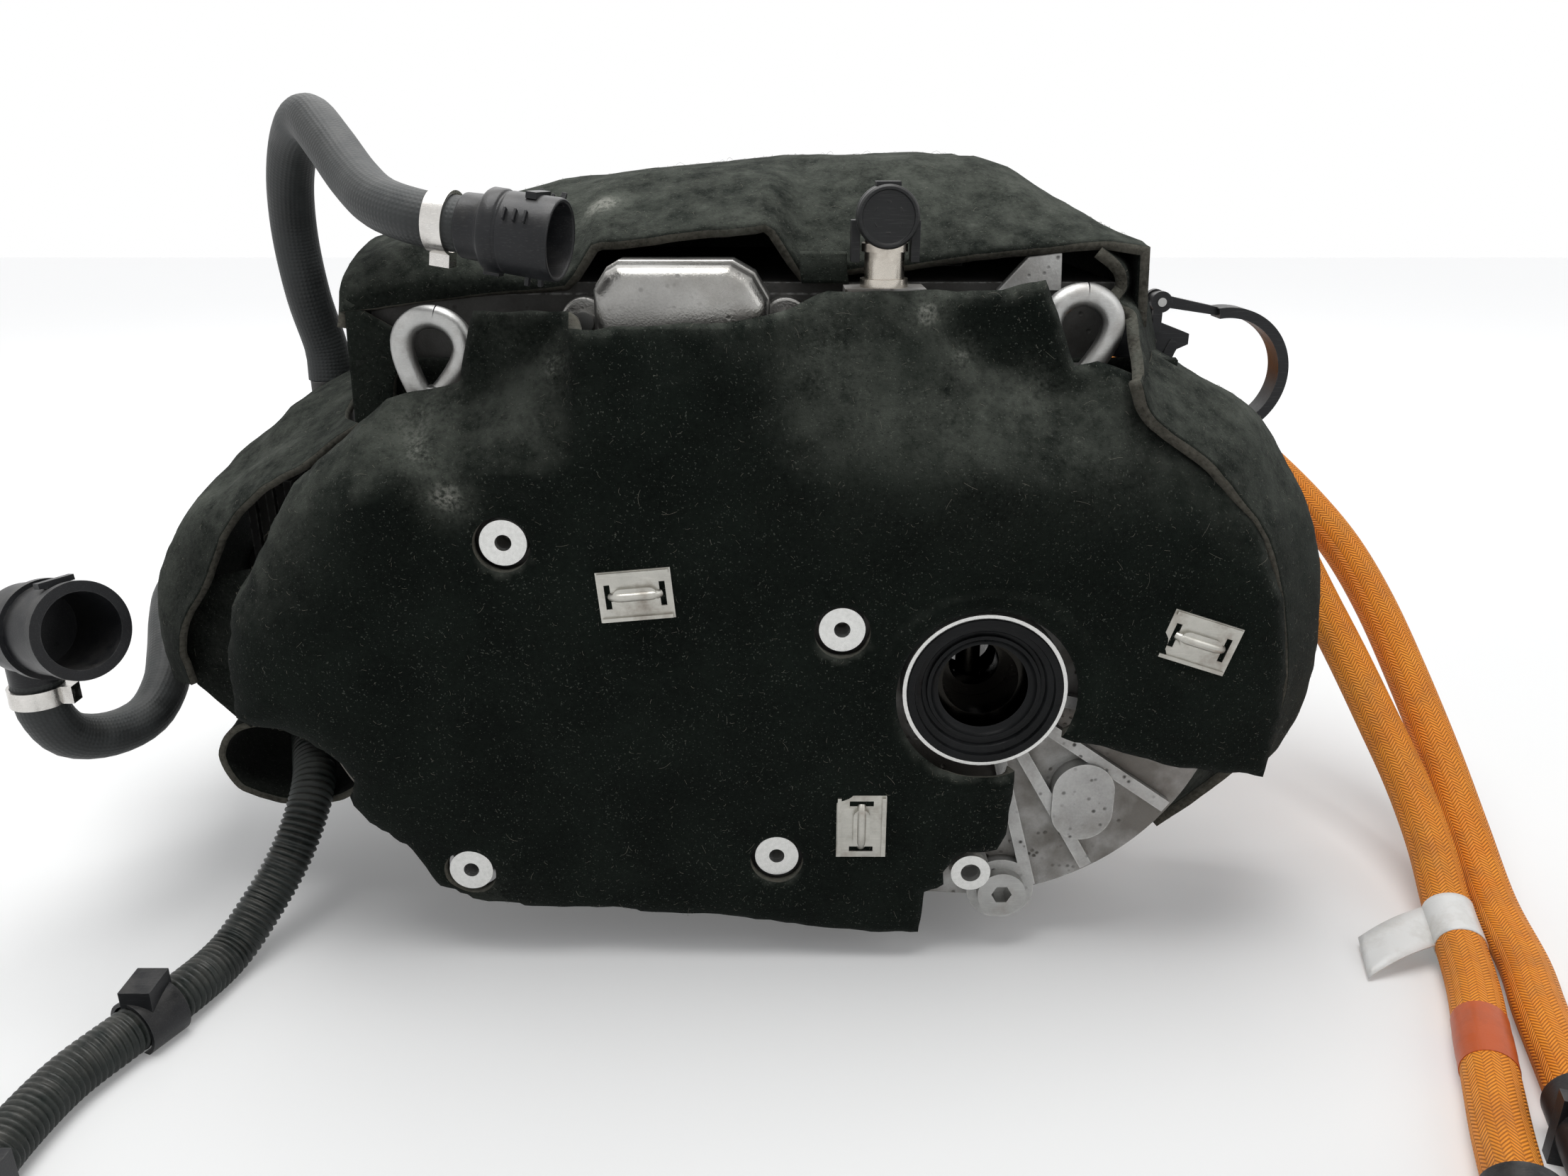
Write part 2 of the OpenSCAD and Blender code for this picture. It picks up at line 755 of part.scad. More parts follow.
// intermediate shaft with its pinion, and the gear pressed on it
mid_step_r = 20;
module intermediate_shaft() {
  color(steel)
    union() {
      disc(mid_at, mid_front_y, mid_rear_y + mid_bearing_w - 1, mid_shaft_r);
      disc(mid_at, mid_front_y + mid_bearing_w + 1, mid_rear_y - 1, mid_step_r);
      along_y(pinion_y0, pinion_y1)
        translate(mid_at)
          rotate(ring_turn + 180 + 180 / mid_pinion_teeth)
            gear_2d(mid_pinion_teeth, module_two);
    }
}
module intermediate_gear() {
  rim = module_one * mid_gear_teeth / 2 - 12;
  color(steel)
    difference() {
      along_y(mid_gear_y0, mid_gear_y1)
        translate(mid_at)
          rotate(mid_turn)
            gear_2d(mid_gear_teeth, module_one);
      disc(mid_at, mid_gear_y0 - eps, mid_gear_y1 + eps, mid_step_r + fit);
      for (y = [mid_gear_y0 - eps, mid_gear_y1 - 7])
        along_y(y, y + 7 + eps)
          translate(mid_at)
            difference() {
              circle(rim);
              circle(mid_step_r + 14);
            }
    }
}

// ring gear and differential
module ring_gear() {
  color(steel)
    difference() {
      along_y(ring_y0, ring_y1)
        rotate(ring_turn)
          gear_2d(ring_teeth, module_two);
      disc(out_at, ring_y0 - eps, ring_y1 + eps, ring_bore_r);
    }
}
module differential_case() {
  y0 = diff_y - diff_half;
  y1 = diff_y + diff_half;
  color(cast_grey)
    difference() {
      union() {
        disc(out_at, y0 - diff_end, y1 + diff_end, diff_case_r);
        disc(out_at, ring_y1, ring_flange_y1, ring_flange_r);
        disc(out_at, diff_front_y, diff_rear_y + diff_bearing_w, diff_hub_r);
      }
      disc(out_at, y0, y1, diff_cavity_r);
      disc(out_at, diff_front_y - eps, diff_rear_y + diff_bearing_w + eps, diff_hub_bore);
      translate([0, diff_y, -diff_case_r - eps])
        cylinder(h = 2 * diff_case_r + 2 * eps, r = cross_r + fit);
      translate([-diff_case_r - eps, diff_y, 0])
        rotate([0, 90, 0])
          cylinder(h = 2 * diff_case_r + 2 * eps, r = 11);
    }
}
module cross_pin() {
  color(steel)
    translate([0, diff_y, 1 - diff_case_r])
      cylinder(h = 2 * diff_case_r - 2, r = cross_r);
}
side_root = 22;
side_tip = 28.9;
planet_root = 13.7;
planet_tip = 18.1;
module planet() {
  color(steel)
    difference() {
      union() {
        translate([0, 0, planet_back])
          mirror([0, 0, 1])
            linear_extrude(height = planet_face, scale = (planet_back - planet_face) / planet_back)
              bevel_2d(planet_teeth, planet_root, planet_tip, 11.5, 4, 90);
        translate([0, 0, planet_back])
          cylinder(h = 6, r = planet_root);
      }
      cylinder(h = diff_case_r, r = cross_r + fit);
    }
}
module planet_gear_upper() {
  translate([0, diff_y, 0])
    planet();
}
module planet_gear_lower() {
  translate([0, diff_y, 0])
    rotate([180, 0, 0])
      planet();
}
module side_gear() {
  color(steel)
    difference() {
      union() {
        translate([0, -side_back, 0])
          rotate([-90, 0, 0])
            linear_extrude(height = cone_face, scale = (side_back - cone_face) / side_back)
              bevel_2d(side_teeth, side_root, side_tip, 6.6, 2.4, 90 + 180 / side_teeth);
        disc(out_at, run - diff_half, -side_back, side_root);
      }
      disc(out_at, -diff_half, -1, side_bore);
    }
}
module side_gear_front() {
  translate([0, diff_y, 0])
    side_gear();
}
module side_gear_rear() {
  translate([0, diff_y, 0])
    rotate([180, 0, 0])
      side_gear();
}

// ball bearings: outer rings stay with the castings, inner rings carry the balls
ball_share = 0.3;
function mid_radius(r0, r1) = (r0 + r1) / 2;
function ball_r(r0, r1) = (r1 - r0) * ball_share;
module outer_ring(c, y, r0, r1, w) {
  m = mid_radius(r0, r1);
  translate([c[0], y + w / 2, c[1]])
    rotate([90, 0, 0])
      rotate_extrude()
        difference() {
          translate([m + 3, -w / 2])
            square([r1 - m - 3, w]);
          translate([m, 0])
            circle(ball_r(r0, r1) + run);
        }
}
module inner_ring(c, y, r0, r1, w) {
  m = mid_radius(r0, r1);
  balls = 9;
  translate([c[0], y + w / 2, c[1]])
    rotate([90, 0, 0])
      difference() {
        union() {
          cylinder(h = w, r = m - 2.5, center = true);
          for (i = [0 : balls - 1])
            rotate(i * 360 / balls)
              translate([m, 0, 0])
                sphere(ball_r(r0, r1));
        }
        cylinder(h = w + 2, r = r0 + fit, center = true);
      }
}
module bearing_outer_rings() {
  color(steel) {
    outer_ring(out_at, diff_front_y, diff_hub_r, diff_bearing_r, diff_bearing_w);
    outer_ring(out_at, diff_rear_y, diff_hub_r, diff_bearing_r, diff_bearing_w);
    outer_ring(mid_at, mid_front_y, mid_shaft_r, mid_bearing_r, mid_bearing_w);
    outer_ring(mid_at, mid_rear_y, mid_shaft_r, mid_bearing_r, mid_bearing_w);
    outer_ring(motor_at, rotor_front_y, rotor_seat_r, rotor_bearing_r, rotor_bearing_w);
    outer_ring(motor_at, rotor_rear_y, rotor_seat_r, rotor_bearing_r, rotor_bearing_w);
  }
}
module differential_inner_rings() {
  color(steel) {
    inner_ring(out_at, diff_front_y, diff_hub_r, diff_bearing_r, diff_bearing_w);
    inner_ring(out_at, diff_rear_y, diff_hub_r, diff_bearing_r, diff_bearing_w);
  }
}
module intermediate_inner_rings() {
  color(steel) {
    inner_ring(mid_at, mid_front_y, mid_shaft_r, mid_bearing_r, mid_bearing_w);
    inner_ring(mid_at, mid_rear_y, mid_shaft_r, mid_bearing_r, mid_bearing_w);
  }
}
module rotor_inner_rings() {
  color(steel) {
    inner_ring(motor_at, rotor_front_y, rotor_seat_r, rotor_bearing_r, rotor_bearing_w);
    inner_ring(motor_at, rotor_rear_y, rotor_seat_r, rotor_bearing_r, rotor_bearing_w);
  }
}

// lip seals at both outputs
module seal(y) {
  translate([0, y, 0])
    rotate([-90, 0, 0])
      rotate_extrude()
        polygon([[seal_lip_r, 0], [seal_r - fit, 0], [seal_r - fit, seal_w], [seal_r - 4, seal_w],
                 [seal_r - 4, 3], [seal_lip_r + 3, 3], [seal_lip_r + 3, seal_w], [seal_lip_r, seal_w]]);
}
module output_seals() {
  color(rubber_grey) {
    seal(0);
    translate([0, collar_back - 2, 0])
      rotate([180, 0, 0])
        seal(0);
  }
}

// hex socket drain plug
module drain_plug() {
  color(steel)
    difference() {
      union() {
        disc(drain_at, drain_face - 6, drain_face, drain_head_r);
        disc(drain_at, drain_face, drain_face + 14, drain_r);
      }
      along_y(drain_face - 7, drain_face + 4)
        translate(drain_at)
          circle(drain_hex / (2 * cos(30)), $fn = 6);
    }
}

// vent
module breather_pipe() {
  color(steel)
    translate([breather_at[0], breather_at[1], breather_flange_z])
      difference() {
        union() {
          cylinder(h = pipe_len, r = pipe_r);
          cylinder(h = 4, r = pipe_r + 2);
          translate([0, 0, pipe_len - 9])
            cylinder(h = 4, r = pipe_r + 1.5);
        }
        translate([0, 0, -eps])
          cylinder(h = pipe_len + 2 * eps, r = pipe_bore);
      }
}
module breather_cap() {
  top = breather_flange_z + pipe_len;
  color(plastic_black)
    difference() {
      union() {
        disc([breather_at[0], cap_z], cap_y0, cap_y0 + cap_depth, cap_r);
        translate([breather_at[0], breather_at[1], top])
          cylinder(h = 8, r = pipe_r);
        for (s = [-1, 1])
          block([breather_at[0] + s * (pipe_r + 5) - 3, breather_at[1] - 6, top - 14],
                [breather_at[0] + s * (pipe_r + 5) + 3, breather_at[1] + 6, top + 8]);
        block([breather_at[0] - pipe_r - 8, breather_at[1] - 6, top],
              [breather_at[0] + pipe_r + 8, breather_at[1] + 6, top + 8]);
      }
      translate([breather_at[0], breather_at[1], top - 20])
        cylinder(h = 20, r = pipe_r + 2);
    }
}

// inverter box, lid and what they hold
module inverter_housing() {
  color(cast_grey)
    difference() {
      union() {
        block([inv_x0, inv_y0, inv_z0], [inv_x1, inv_y1, inv_z1]);
        block([hv_box_x0, hv_box_y0, hv_box_z0], [hv_box_x1, hv_box_y1, inv_z0 + 2]);
      }
      block([inv_x0 + inv_wall, inv_y0 + inv_wall, inv_z0 + inv_wall],
            [inv_x1 - inv_wall, inv_y1 - inv_wall, inv_z1 + eps]);
      block([hv_box_x0 + inv_wall, hv_box_y0 + inv_wall, hv_box_z0 + inv_wall],
            [inv_x1 - 2 * inv_wall, hv_box_y1 - inv_wall, inv_z0 + 2 * inv_wall]);
      for (y = [cable_y_front, cable_y_back])
        translate([inv_x1 - 2 * inv_wall - eps, y, cable_z])
          rotate([0, 90, 0])
            cylinder(h = 3 * inv_wall, r = port_r + fit);
      for (x = lid_bolt_x)
        disc([x, lid_bolt_z], inv_y0 - eps, inv_y0 + lid_bolt_grip + 0.5, lid_bolt_r + fit);
      block([term_x0 + 14, inv_y0 - eps, term_z0 + 8], [term_x1 - 14, inv_y0 + inv_wall + eps, inv_z1 - 8]);
    }
}
module inverter_lid() {
  top = crest_z - felt_t;
  color(cast_grey)
    difference() {
      union() {
        block([inv_x0, inv_y0, inv_z1], [inv_x1, inv_y1, inv_z1 + lid_t]);
        block([dome_x0, dome_y0, inv_z1], [dome_x1, dome_y1, top]);
      }
      block([dome_x0 + inv_wall, dome_y0 + inv_wall, inv_z1 - eps],
            [dome_x1 - inv_wall, dome_y1 - inv_wall, top - inv_wall]);
    }
}
module_h = 18;
board_x0 = inv_x0 + 37;
board_x1 = dome_x1 - 20;
board_y0 = inv_y0 + 43;
board_y1 = inv_y1 - 32;
busbar_w = 10;
busbar_pitch = 22;
module power_module() {
  color(plastic_black)
    block([inv_x0 + 50, inv_y0 + 54, inv_z0 + inv_wall],
          [term_x1 - 6, inv_y1 - 72, inv_z0 + inv_wall + module_h]);
}
module control_board() {
  color(board_green)
    union() {
      block([board_x0, board_y0, inv_z0 + inv_wall + 26], [board_x1, board_y1, inv_z0 + inv_wall + 28]);
      for (x = [board_x0 + 2, board_x1 - 14], y = [board_y0 + 2, board_y1 - 14])
        block([x, y, inv_z0 + inv_wall], [x + 6, y + 6, inv_z0 + inv_wall + 27]);
    }
}
module phase_busbars() {
  color(copper)
    for (i = [0 : 2])
      block([term_x0 + 16 + i * busbar_pitch, term_y0 + 10, inv_z0 + inv_wall + module_h],
            [term_x0 + 16 + busbar_w + i * busbar_pitch, inv_y0 + 78, inv_z0 + inv_wall + module_h + 4]);
}
module terminal_lid() {
  cut = 9;
  color(cast_grey)
    difference() {
      union() {
        along_y(term_y0, inv_y0)
          polygon([[term_x0, term_z0], [term_x0, term_z1 - cut], [term_x0 + cut, term_z1],
                   [term_x1 - cut, term_z1], [term_x1, term_z1 - cut], [term_x1, term_z0]]);
        for (x = [term_x0 - lid_tab_w, term_x1 - 1])
          block([x, inv_y0 - lid_tab_t, lid_bolt_z - 13], [x + lid_tab_w + 1, inv_y0, lid_bolt_z + 13]);
      }
      for (x = lid_bolt_x)
        disc([x, lid_bolt_z], inv_y0 - lid_tab_t - eps, inv_y0 + eps, lid_bolt_r + fit);
      block([term_x0 + 6, term_y0 + 6, term_z0 + 6], [term_x1 - 6, inv_y0 + eps, term_z1 - 8]);
    }
}
module hv_glands() {
  color(plastic_black)
    for (y = [cable_y_front, cable_y_back])
      translate([0, y, cable_z])
        rotate([0, 90, 0]) {
          translate([0, 0, hv_box_x1])
            cylinder(h = gland_x - hv_box_x1, r = gland_r);
          translate([0, 0, hv_box_x1 - inv_wall])
            cylinder(h = inv_wall + eps, r = port_r);
        }
}

// oil cooler with coolant ports
module oil_cooler() {
  color(steel)
    union() {
      block([cooler_x0 + 6, cooler_y0 + 40, cooler_z0], [cooler_x1, cooler_y1, cooler_z1]);
      for (x = [cooler_x0 + 8 : 12 : cooler_x1 - 16])
        block([x, cooler_y0 + 36, cooler_z0 - 4], [x + 5, cooler_y1 + 4, cooler_z1 + 4]);
      translate([upper_port[0], upper_port[1], cooler_z1 - 2])
        cylinder(h = upper_port_z - cooler_z1 + 2, r = port_tube_r + 3);
      translate([lower_port_x, lower_port[0], lower_port[1]])
        rotate([0, 90, 0])
          cylinder(h = cooler_x0 - lower_port_x + 14, r = port_tube_r + 3);
    }
}

// coolant hoses, clamps, connectors and latches
module upper_hose() {
  color(rubber_grey)
    tube(upper_route, hose_r, [1, 0.2, 0.1]);
}
module lower_hose() {
  color(rubber_grey)
    tube(lower_route, hose_r, [0.1, 0.2, 1]);
}
clamp_gap = 0.4;
module clamp_band(r) {
  difference() {
    union() {
      cylinder(h = 10, r = r + 1.6);
      translate([r, -4, 0])
        cube([7, 8, 10]);
    }
    translate([0, 0, -eps])
      cylinder(h = 10 + 2 * eps, r = r + fit);
  }
}
module upper_clamp() {
  color(steel)
    aim(upper_end - 15 * upper_dir, upper_dir)
      clamp_band(hose_r + clamp_gap);
}
module lower_clamp() {
  color(steel)
    translate([lower_end[0], lower_end[1], lower_end[2] - 13])
      clamp_band(hose_r + clamp_gap);
}
conn_wall = 4;
neck_l = 8;
function barrel(r, l, back, neck_r, floor) = let (rim = l * 0.45)
  [[0, -back], [neck_r, -back], [neck_r, neck_l], [r, neck_l], [r, rim], [r + 2.5, rim], [r + 2.5, rim + 5],
   [r, rim + 5], [r, l - 4], [r + 1.5, l - 4], [r + 1.5, l], [r - conn_wall, l], [r - conn_wall, floor],
   [0, floor]];
module quick_connector(r, l, back, neck_r, floor) {
  difference() {
    rotate_extrude()
      polygon(barrel(r, l, back, neck_r, floor));
    translate([r - 6, -5 - run, l - 15])
      cube([12, 10 + 2 * run, 5 + 2 * run]);
  }
}
module latch(r, l) {
  translate([r - 3.5, -5, l - 15 + run])
    cube([5, 10, 5]);
  translate([r + run, -9, l - 15 + run])
    cube([3, 18, 5]);
}
upper_conn_r = 17;
upper_conn_l = 48;
module upper_connector() {
  color(plastic_black)
    aim(upper_end, upper_dir)
      rotate(180)
        quick_connector(upper_conn_r, upper_conn_l, 0, hose_r, neck_l + conn_wall);
}
module upper_latch() {
  color(plastic_black)
    aim(upper_end, upper_dir)
      rotate(180)
        latch(upper_conn_r, upper_conn_l);
}
lower_conn_r = 24;
lower_conn_l = 60;
elbow_r = hose_r + 5;
module lower_connector() {
  color(plastic_black)
    union() {
      aim(elbow_at, mouth_dir)
        rotate(180)
          quick_connector(lower_conn_r, lower_conn_l, elbow_r - 2, elbow_r, hose_r + conn_wall);
      translate(lower_end)
        cylinder(h = elbow_at[2] - lower_end[2], r = hose_r);
    }
}
module lower_latch() {
  color(plastic_black)
    aim(elbow_at, mouth_dir)
      rotate(180)
        latch(lower_conn_r, lower_conn_l);
}

// moulded felt covers
module front_felt() {
  color(felt_black)
    difference() {
      union() {
        along_y(felt_y0, felt_y1)
          polygon(front_outline);
        along_y(felt_y0, skirt_back)
          polygon(concat(skirt_outer, skirt_inner));
      }
      for (p = threads)
        disc(p, felt_y0 - eps, skirt_back, boss_d / 2 + felt_gap);
      disc(bush_at, felt_y0 - eps, skirt_back, boss_d / 2 - 1 + felt_gap);
      disc(drain_at, felt_y0 - eps, skirt_back, drain_boss_r + felt_gap);
      disc(out_at, felt_y0 - eps, skirt_back, collar_d / 2 + 8);
      for (c = clip_at)
        disc([c[0], c[1]], felt_y0 - eps, skirt_back, stud_r + fit);
      along_y(felt_y0 - eps, skirt_back)
        translate(oblong_at)
          circle(oblong_h / 2 + felt_gap);
    }
}
module side_felt() {
  color(felt_black)
    union() {
      rotate([90, 0, 0])
        rotate(side_from)
          rotate_extrude(angle = side_sweep)
            polygon([[side_r0 - felt_t, -felt_y1], [side_r0, -felt_y1], [side_r1, -side_y1],
                     [side_r1 - felt_t, -side_y1 - 4]]);
      block(tail_front[0], tail_front[1]);
      translate([0, 0, tail_z0])
        linear_extrude(height = tail_z1 - tail_z0)
          polygon(tail_plan);
    }
}
module along_x(x0, x1) {
  translate([x0, 0, 0])
    rotate([90, 0, 90])
      linear_extrude(height = x1 - x0)
        children();
}
module top_felt() {
  color(felt_black)
    union() {
      difference() {
        intersection() {
          along_y(top_front, top_back)
            polygon(top_shape);
          along_x(felt_x0 - 10, felt_x1 + 10)
            polygon(top_side);
        }
        intersection() {
          along_y(top_front - eps, top_back)
            polygon(top_hollow);
          along_x(felt_x0 - 10, felt_x1 + 10)
            polygon(top_side_hollow);
        }
        block([term_x0 - 5, top_front - eps, 170], [term_x1 + 4, top_front + 60, term_z1 + 10]);
        block([felt_x0 - 10, top_front - eps, 170], [felt_x1 + 10, top_front + 40, 190]);
      }
      block([felt_x0 + 2, panel_y0, panel_z0], [panel_x1, panel_y1, panel_z1]);
    }
}
module left_felt() {
  color(felt_black)
    difference() {
      union() {
        along_y(left_y0, left_y1)
          polygon(concat(left_outer, left_inner));
        block([cooler_x0 + 6, cooler_y0 + 60, cooler_z1 + 4], [cooler_x0 + 20, cooler_y0 + 80, cooler_z1 + 24]);
      }
      translate([upper_port[0], upper_port[1], upper_port_z - 40])
        cylinder(h = 80, r = hose_r + 3);
      translate([lower_port_x - 20, lower_port[0], lower_port[1]])
        rotate([0, 90, 0])
          cylinder(h = 50, r = hose_r + 3);
    }
}
module harness_sleeve() {
  color(felt_black)
    difference() {
      block([sleeve_x0, sleeve_y0, sleeve_z0], [sleeve_x1, sleeve_y1, sleeve_z1]);
      block([sleeve_x0 + sleeve_t, sleeve_y0 - eps, sleeve_z0 + sleeve_t],
            [sleeve_x1 + eps, sleeve_y1 - sleeve_t, sleeve_z1 - sleeve_t]);
    }
}
module felt_clip() {
  rib_l = clip_l / 2 - 5;
  difference() {
    union() {
      translate([-clip_l / 2, -clip_w / 2, 0])
        cube([clip_l, clip_w, clip_t]);
      linear_extrude(height = clip_t + clip_rib) {
        square([rib_l, 2 * stud_r + 3], center = true);
        for (s = [-1, 1])
          translate([s * rib_l / 2, 0])
            circle(stud_r + 1.5);
      }
      for (s = [-1, 1])
        translate([-clip_l / 2 + 1, s * (clip_w / 2 - 1.5) - 1, 0])
          cube([clip_l - 2, 2, clip_t + 1.6]);
    }
    translate([0, 0, -eps])
      cylinder(h = stud_len + run + eps, r = stud_r + fit);
    for (s = [-1, 1])
      translate([s * (clip_l / 2 - 5), 0, clip_t / 2])
        cube([clip_slot[0], clip_slot[1], 8], center = true);
  }
}
module felt_clips() {
  color(steel)
    for (c = clip_at)
      translate([c[0], felt_y0, c[1]])
        rotate([0, -c[2], 0])
          rotate([90, 0, 0])
            felt_clip();
}

// lifting eyes
module lifting_eye(p) {
  translate([p[0], eye_y, p[1]]) {
    rotate([90, 0, 0])
      rotate_extrude()
        translate([eye_ring_r - eye_rod_r + 3, 0])
          circle(eye_rod_r);
    translate([0, 0, -eye_ring_r - eye_shank - 10])
      cylinder(h = eye_shank + 14, r = eye_rod_r);
    translate([0, 0, -eye_ring_r - eye_shank])
      cylinder(h = 5, r = tower_r - 2);
  }
}
module lifting_eyes() {
  color(steel) {
    lifting_eye(eye_left);
    lifting_eye(eye_right);
  }
}

// cable clip
module arc_band(c, r0, r1, a0, a1) {
  translate([c[0], 0, c[1]])
    rotate([90, 0, 0])
      rotate(a0)
        rotate_extrude(angle = a1 - a0)
          translate([r0, 0])
            square([r1 - r0, hoop_y1 - hoop_y0]);
}
pivot_angle = bearing(pivot_at - ring_at);
module clip_bracket() {
  color(plastic_black)
    difference() {
      union() {
        translate([0, hoop_y1, 0])
          arc_band(ring_at, ring_r0, ring_r1, pivot_angle + 14, 360 + saddle_end);
        along_y(hoop_y0 + 1, hoop_y1 - 1)
          polygon([[inv_x1, inv_z0 + 2], [inv_x1, arm_top], [pivot_at[0] - 6, arm_top], arm_tip + [0, 3],
                   arm_tip - [0, 3], [pivot_at[0] - 6, arm_z]]);
        block([inv_x1, hoop_y0 - 6, inv_z0 + 1], [inv_x1 + 4, hoop_y1 + 6, inv_z0 + 27]);
        for (y = [hoop_y0, hoop_y1 - ear_t]) {
          disc(pivot_at, y, y + ear_t, knuckle_r);
          block([pivot_at[0] - 4, y, arm_top - 8], [pivot_at[0] + 1, y + ear_t, pivot_at[1] - 4]);
        }
      }
      disc(pivot_at, hoop_y0 - eps, hoop_y1 + eps, pivot_r + fit);
    }
}
module clip_pin() {
  color(steel)
    disc(pivot_at, hoop_y0 - 1, hoop_y1 + 1, pivot_r);
}
module clip_strap() {
  color(plastic_black)
    difference() {
      union() {
        translate([0, hoop_y1, 0])
          arc_band(ring_at, ring_r0, ring_r1, saddle_end + 2, strap_start);
        disc(pivot_at, hoop_y0 + ear_t + run, hoop_y1 - ear_t - run, knuckle_r - 1);
        along_y(hoop_y0 + ear_t + run, hoop_y1 - ear_t - run)
          polygon([pivot_at + [0, -3], pivot_at + [0, 4], ring_at + polar(ring_r1 - 1, strap_start - 6),
                   ring_at + polar(ring_r0 + 1, strap_start - 3)]);
      }
      disc(pivot_at, hoop_y0 - eps, hoop_y1 + eps, pivot_r + 0.1);
    }
}

// orange cables, their connector and tag
module hv_cable_front() {
  color(orange)
    tube(front_route, cable_r, [1, 0.15, 0.9]);
}
module hv_cable_back() {
  color(orange)
    tube(back_route, cable_r, [1, 0.15, 0.9]);
}
module cable_plug(p) {
  last = len(p) - 1;
  d = unit(p[last] - p[last - 1]);
  translate([0, 0, plug_r - cable_r])
    aim(p[last], d)
      difference() {
        union() {
          cylinder(h = plug_l, r = plug_r);
          translate([-plug_r, -plug_r, 16])
            cube([2 * plug_r, 2 * plug_r, 8]);
          translate([-plug_r - 3, -6, 26])
            cube([6, 12, 30]);
        }
        translate([0, 0, plug_l - plug_depth])
          cylinder(h = plug_depth + eps, r = plug_r - plug_wall);
      }
}
module hv_connector() {
  color(plastic_black) {
    cable_plug(front_route);
    cable_plug(back_route);
  }
}
tag_l = 26;
tag_gap = 0.4;
tag_t = 0.8;
module cable_tag() {
  a = front_route[tag_from];
  b = front_route[tag_from + 1];
  d = unit(b - a);
  color(white)
    aim((a + b) / 2 - tag_l / 2 * d, d)
      difference() {
        cylinder(h = tag_l, r = cable_r + tag_gap + tag_t);
        translate([0, 0, -eps])
          cylinder(h = tag_l + 2 * eps, r = cable_r + tag_gap);
      }
}

// conduit, its clip and its connector
module conduit() {
  color(plastic_black)
    tube(conduit_route, conduit_r, [0.3, 0.2, 1]);
}
clip_gap = 1;
clip_wall = 2;
clip_len = 22;
module conduit_clip() {
  a = conduit_route[10];
  b = conduit_route[11];
  d = unit(b - a);
  p = (a + b) / 2;
  color(plastic_black)
    difference() {
      union() {
        aim(p - clip_len / 2 * d, d)
          cylinder(h = clip_len, r = conduit_r + clip_gap + clip_wall);
        translate([p[0] - 8, p[1] - 10, p[2]])
          cube([16, 20, conduit_r + 10]);
      }
      aim(p - clip_len * d, d)
        cylinder(h = 2 * clip_len, r = conduit_r + clip_gap);
      translate([p[0] - 60, p[1] - 60, -stand_depth - 20])
        cube([120, 120, 20]);
    }
}
module lv_connector() {
  e = conduit_route[len(conduit_route) - 1];
  color(plastic_black)
    difference() {
      block([e[0] - 24, e[1] - 58, -stand_depth], [e[0] + 24, e[1], -stand_depth + 36]);
      block([e[0] - 18, e[1] - 58 - eps, -stand_depth + 6], [e[0] + 18, e[1] - 36, -stand_depth + 30]);
    }
}

// bolts that hold the gearbox halves together
module case_bolts() {
  color(steel)
    for (p = case_spots) {
      disc(p, split_y + flange_t, split_y + flange_t + bolt_head_h, bolt_head_r);
      disc(p, split_y + flange_t - bolt_len, split_y + flange_t + eps, bolt_d / 2);
    }
  color(steel)
    for (x = lid_bolt_x) {
      disc([x, lid_bolt_z], inv_y0 - lid_tab_t - lid_bolt_head, inv_y0 - lid_tab_t, lid_bolt_r + 2.5);
      disc([x, lid_bolt_z], inv_y0 - lid_tab_t - eps, inv_y0 + lid_bolt_grip, lid_bolt_r);
    }
}

gearbox_cover();
gearbox_housing();
motor_housing();
rear_cover();
stator_core();
stator_windings();
rotor_core();
rotor_magnets();
rotor_shaft();
intermediate_shaft();
intermediate_gear();
ring_gear();
differential_case();
cross_pin();
planet_gear_upper();
planet_gear_lower();
side_gear_front();
side_gear_rear();
bearing_outer_rings();
differential_inner_rings();
intermediate_inner_rings();
rotor_inner_rings();
output_seals();
drain_plug();
breather_pipe();
breather_cap();
inverter_housing();
inverter_lid();
power_module();
control_board();
phase_busbars();
terminal_lid();
hv_glands();
oil_cooler();
upper_hose();
upper_clamp();
upper_connector();
upper_latch();
lower_hose();
lower_clamp();
lower_connector();
lower_latch();
front_felt();
side_felt();
top_felt();
left_felt();
harness_sleeve();
felt_clips();
lifting_eyes();
clip_bracket();
clip_pin();
clip_strap();
hv_cable_front();
hv_cable_back();
hv_connector();
cable_tag();
conduit();
conduit_clip();
lv_connector();
case_bolts();
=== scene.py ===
"""Dresses the electric drive unit: felt covers, leads, hoses, castings, plastics and a plain studio."""

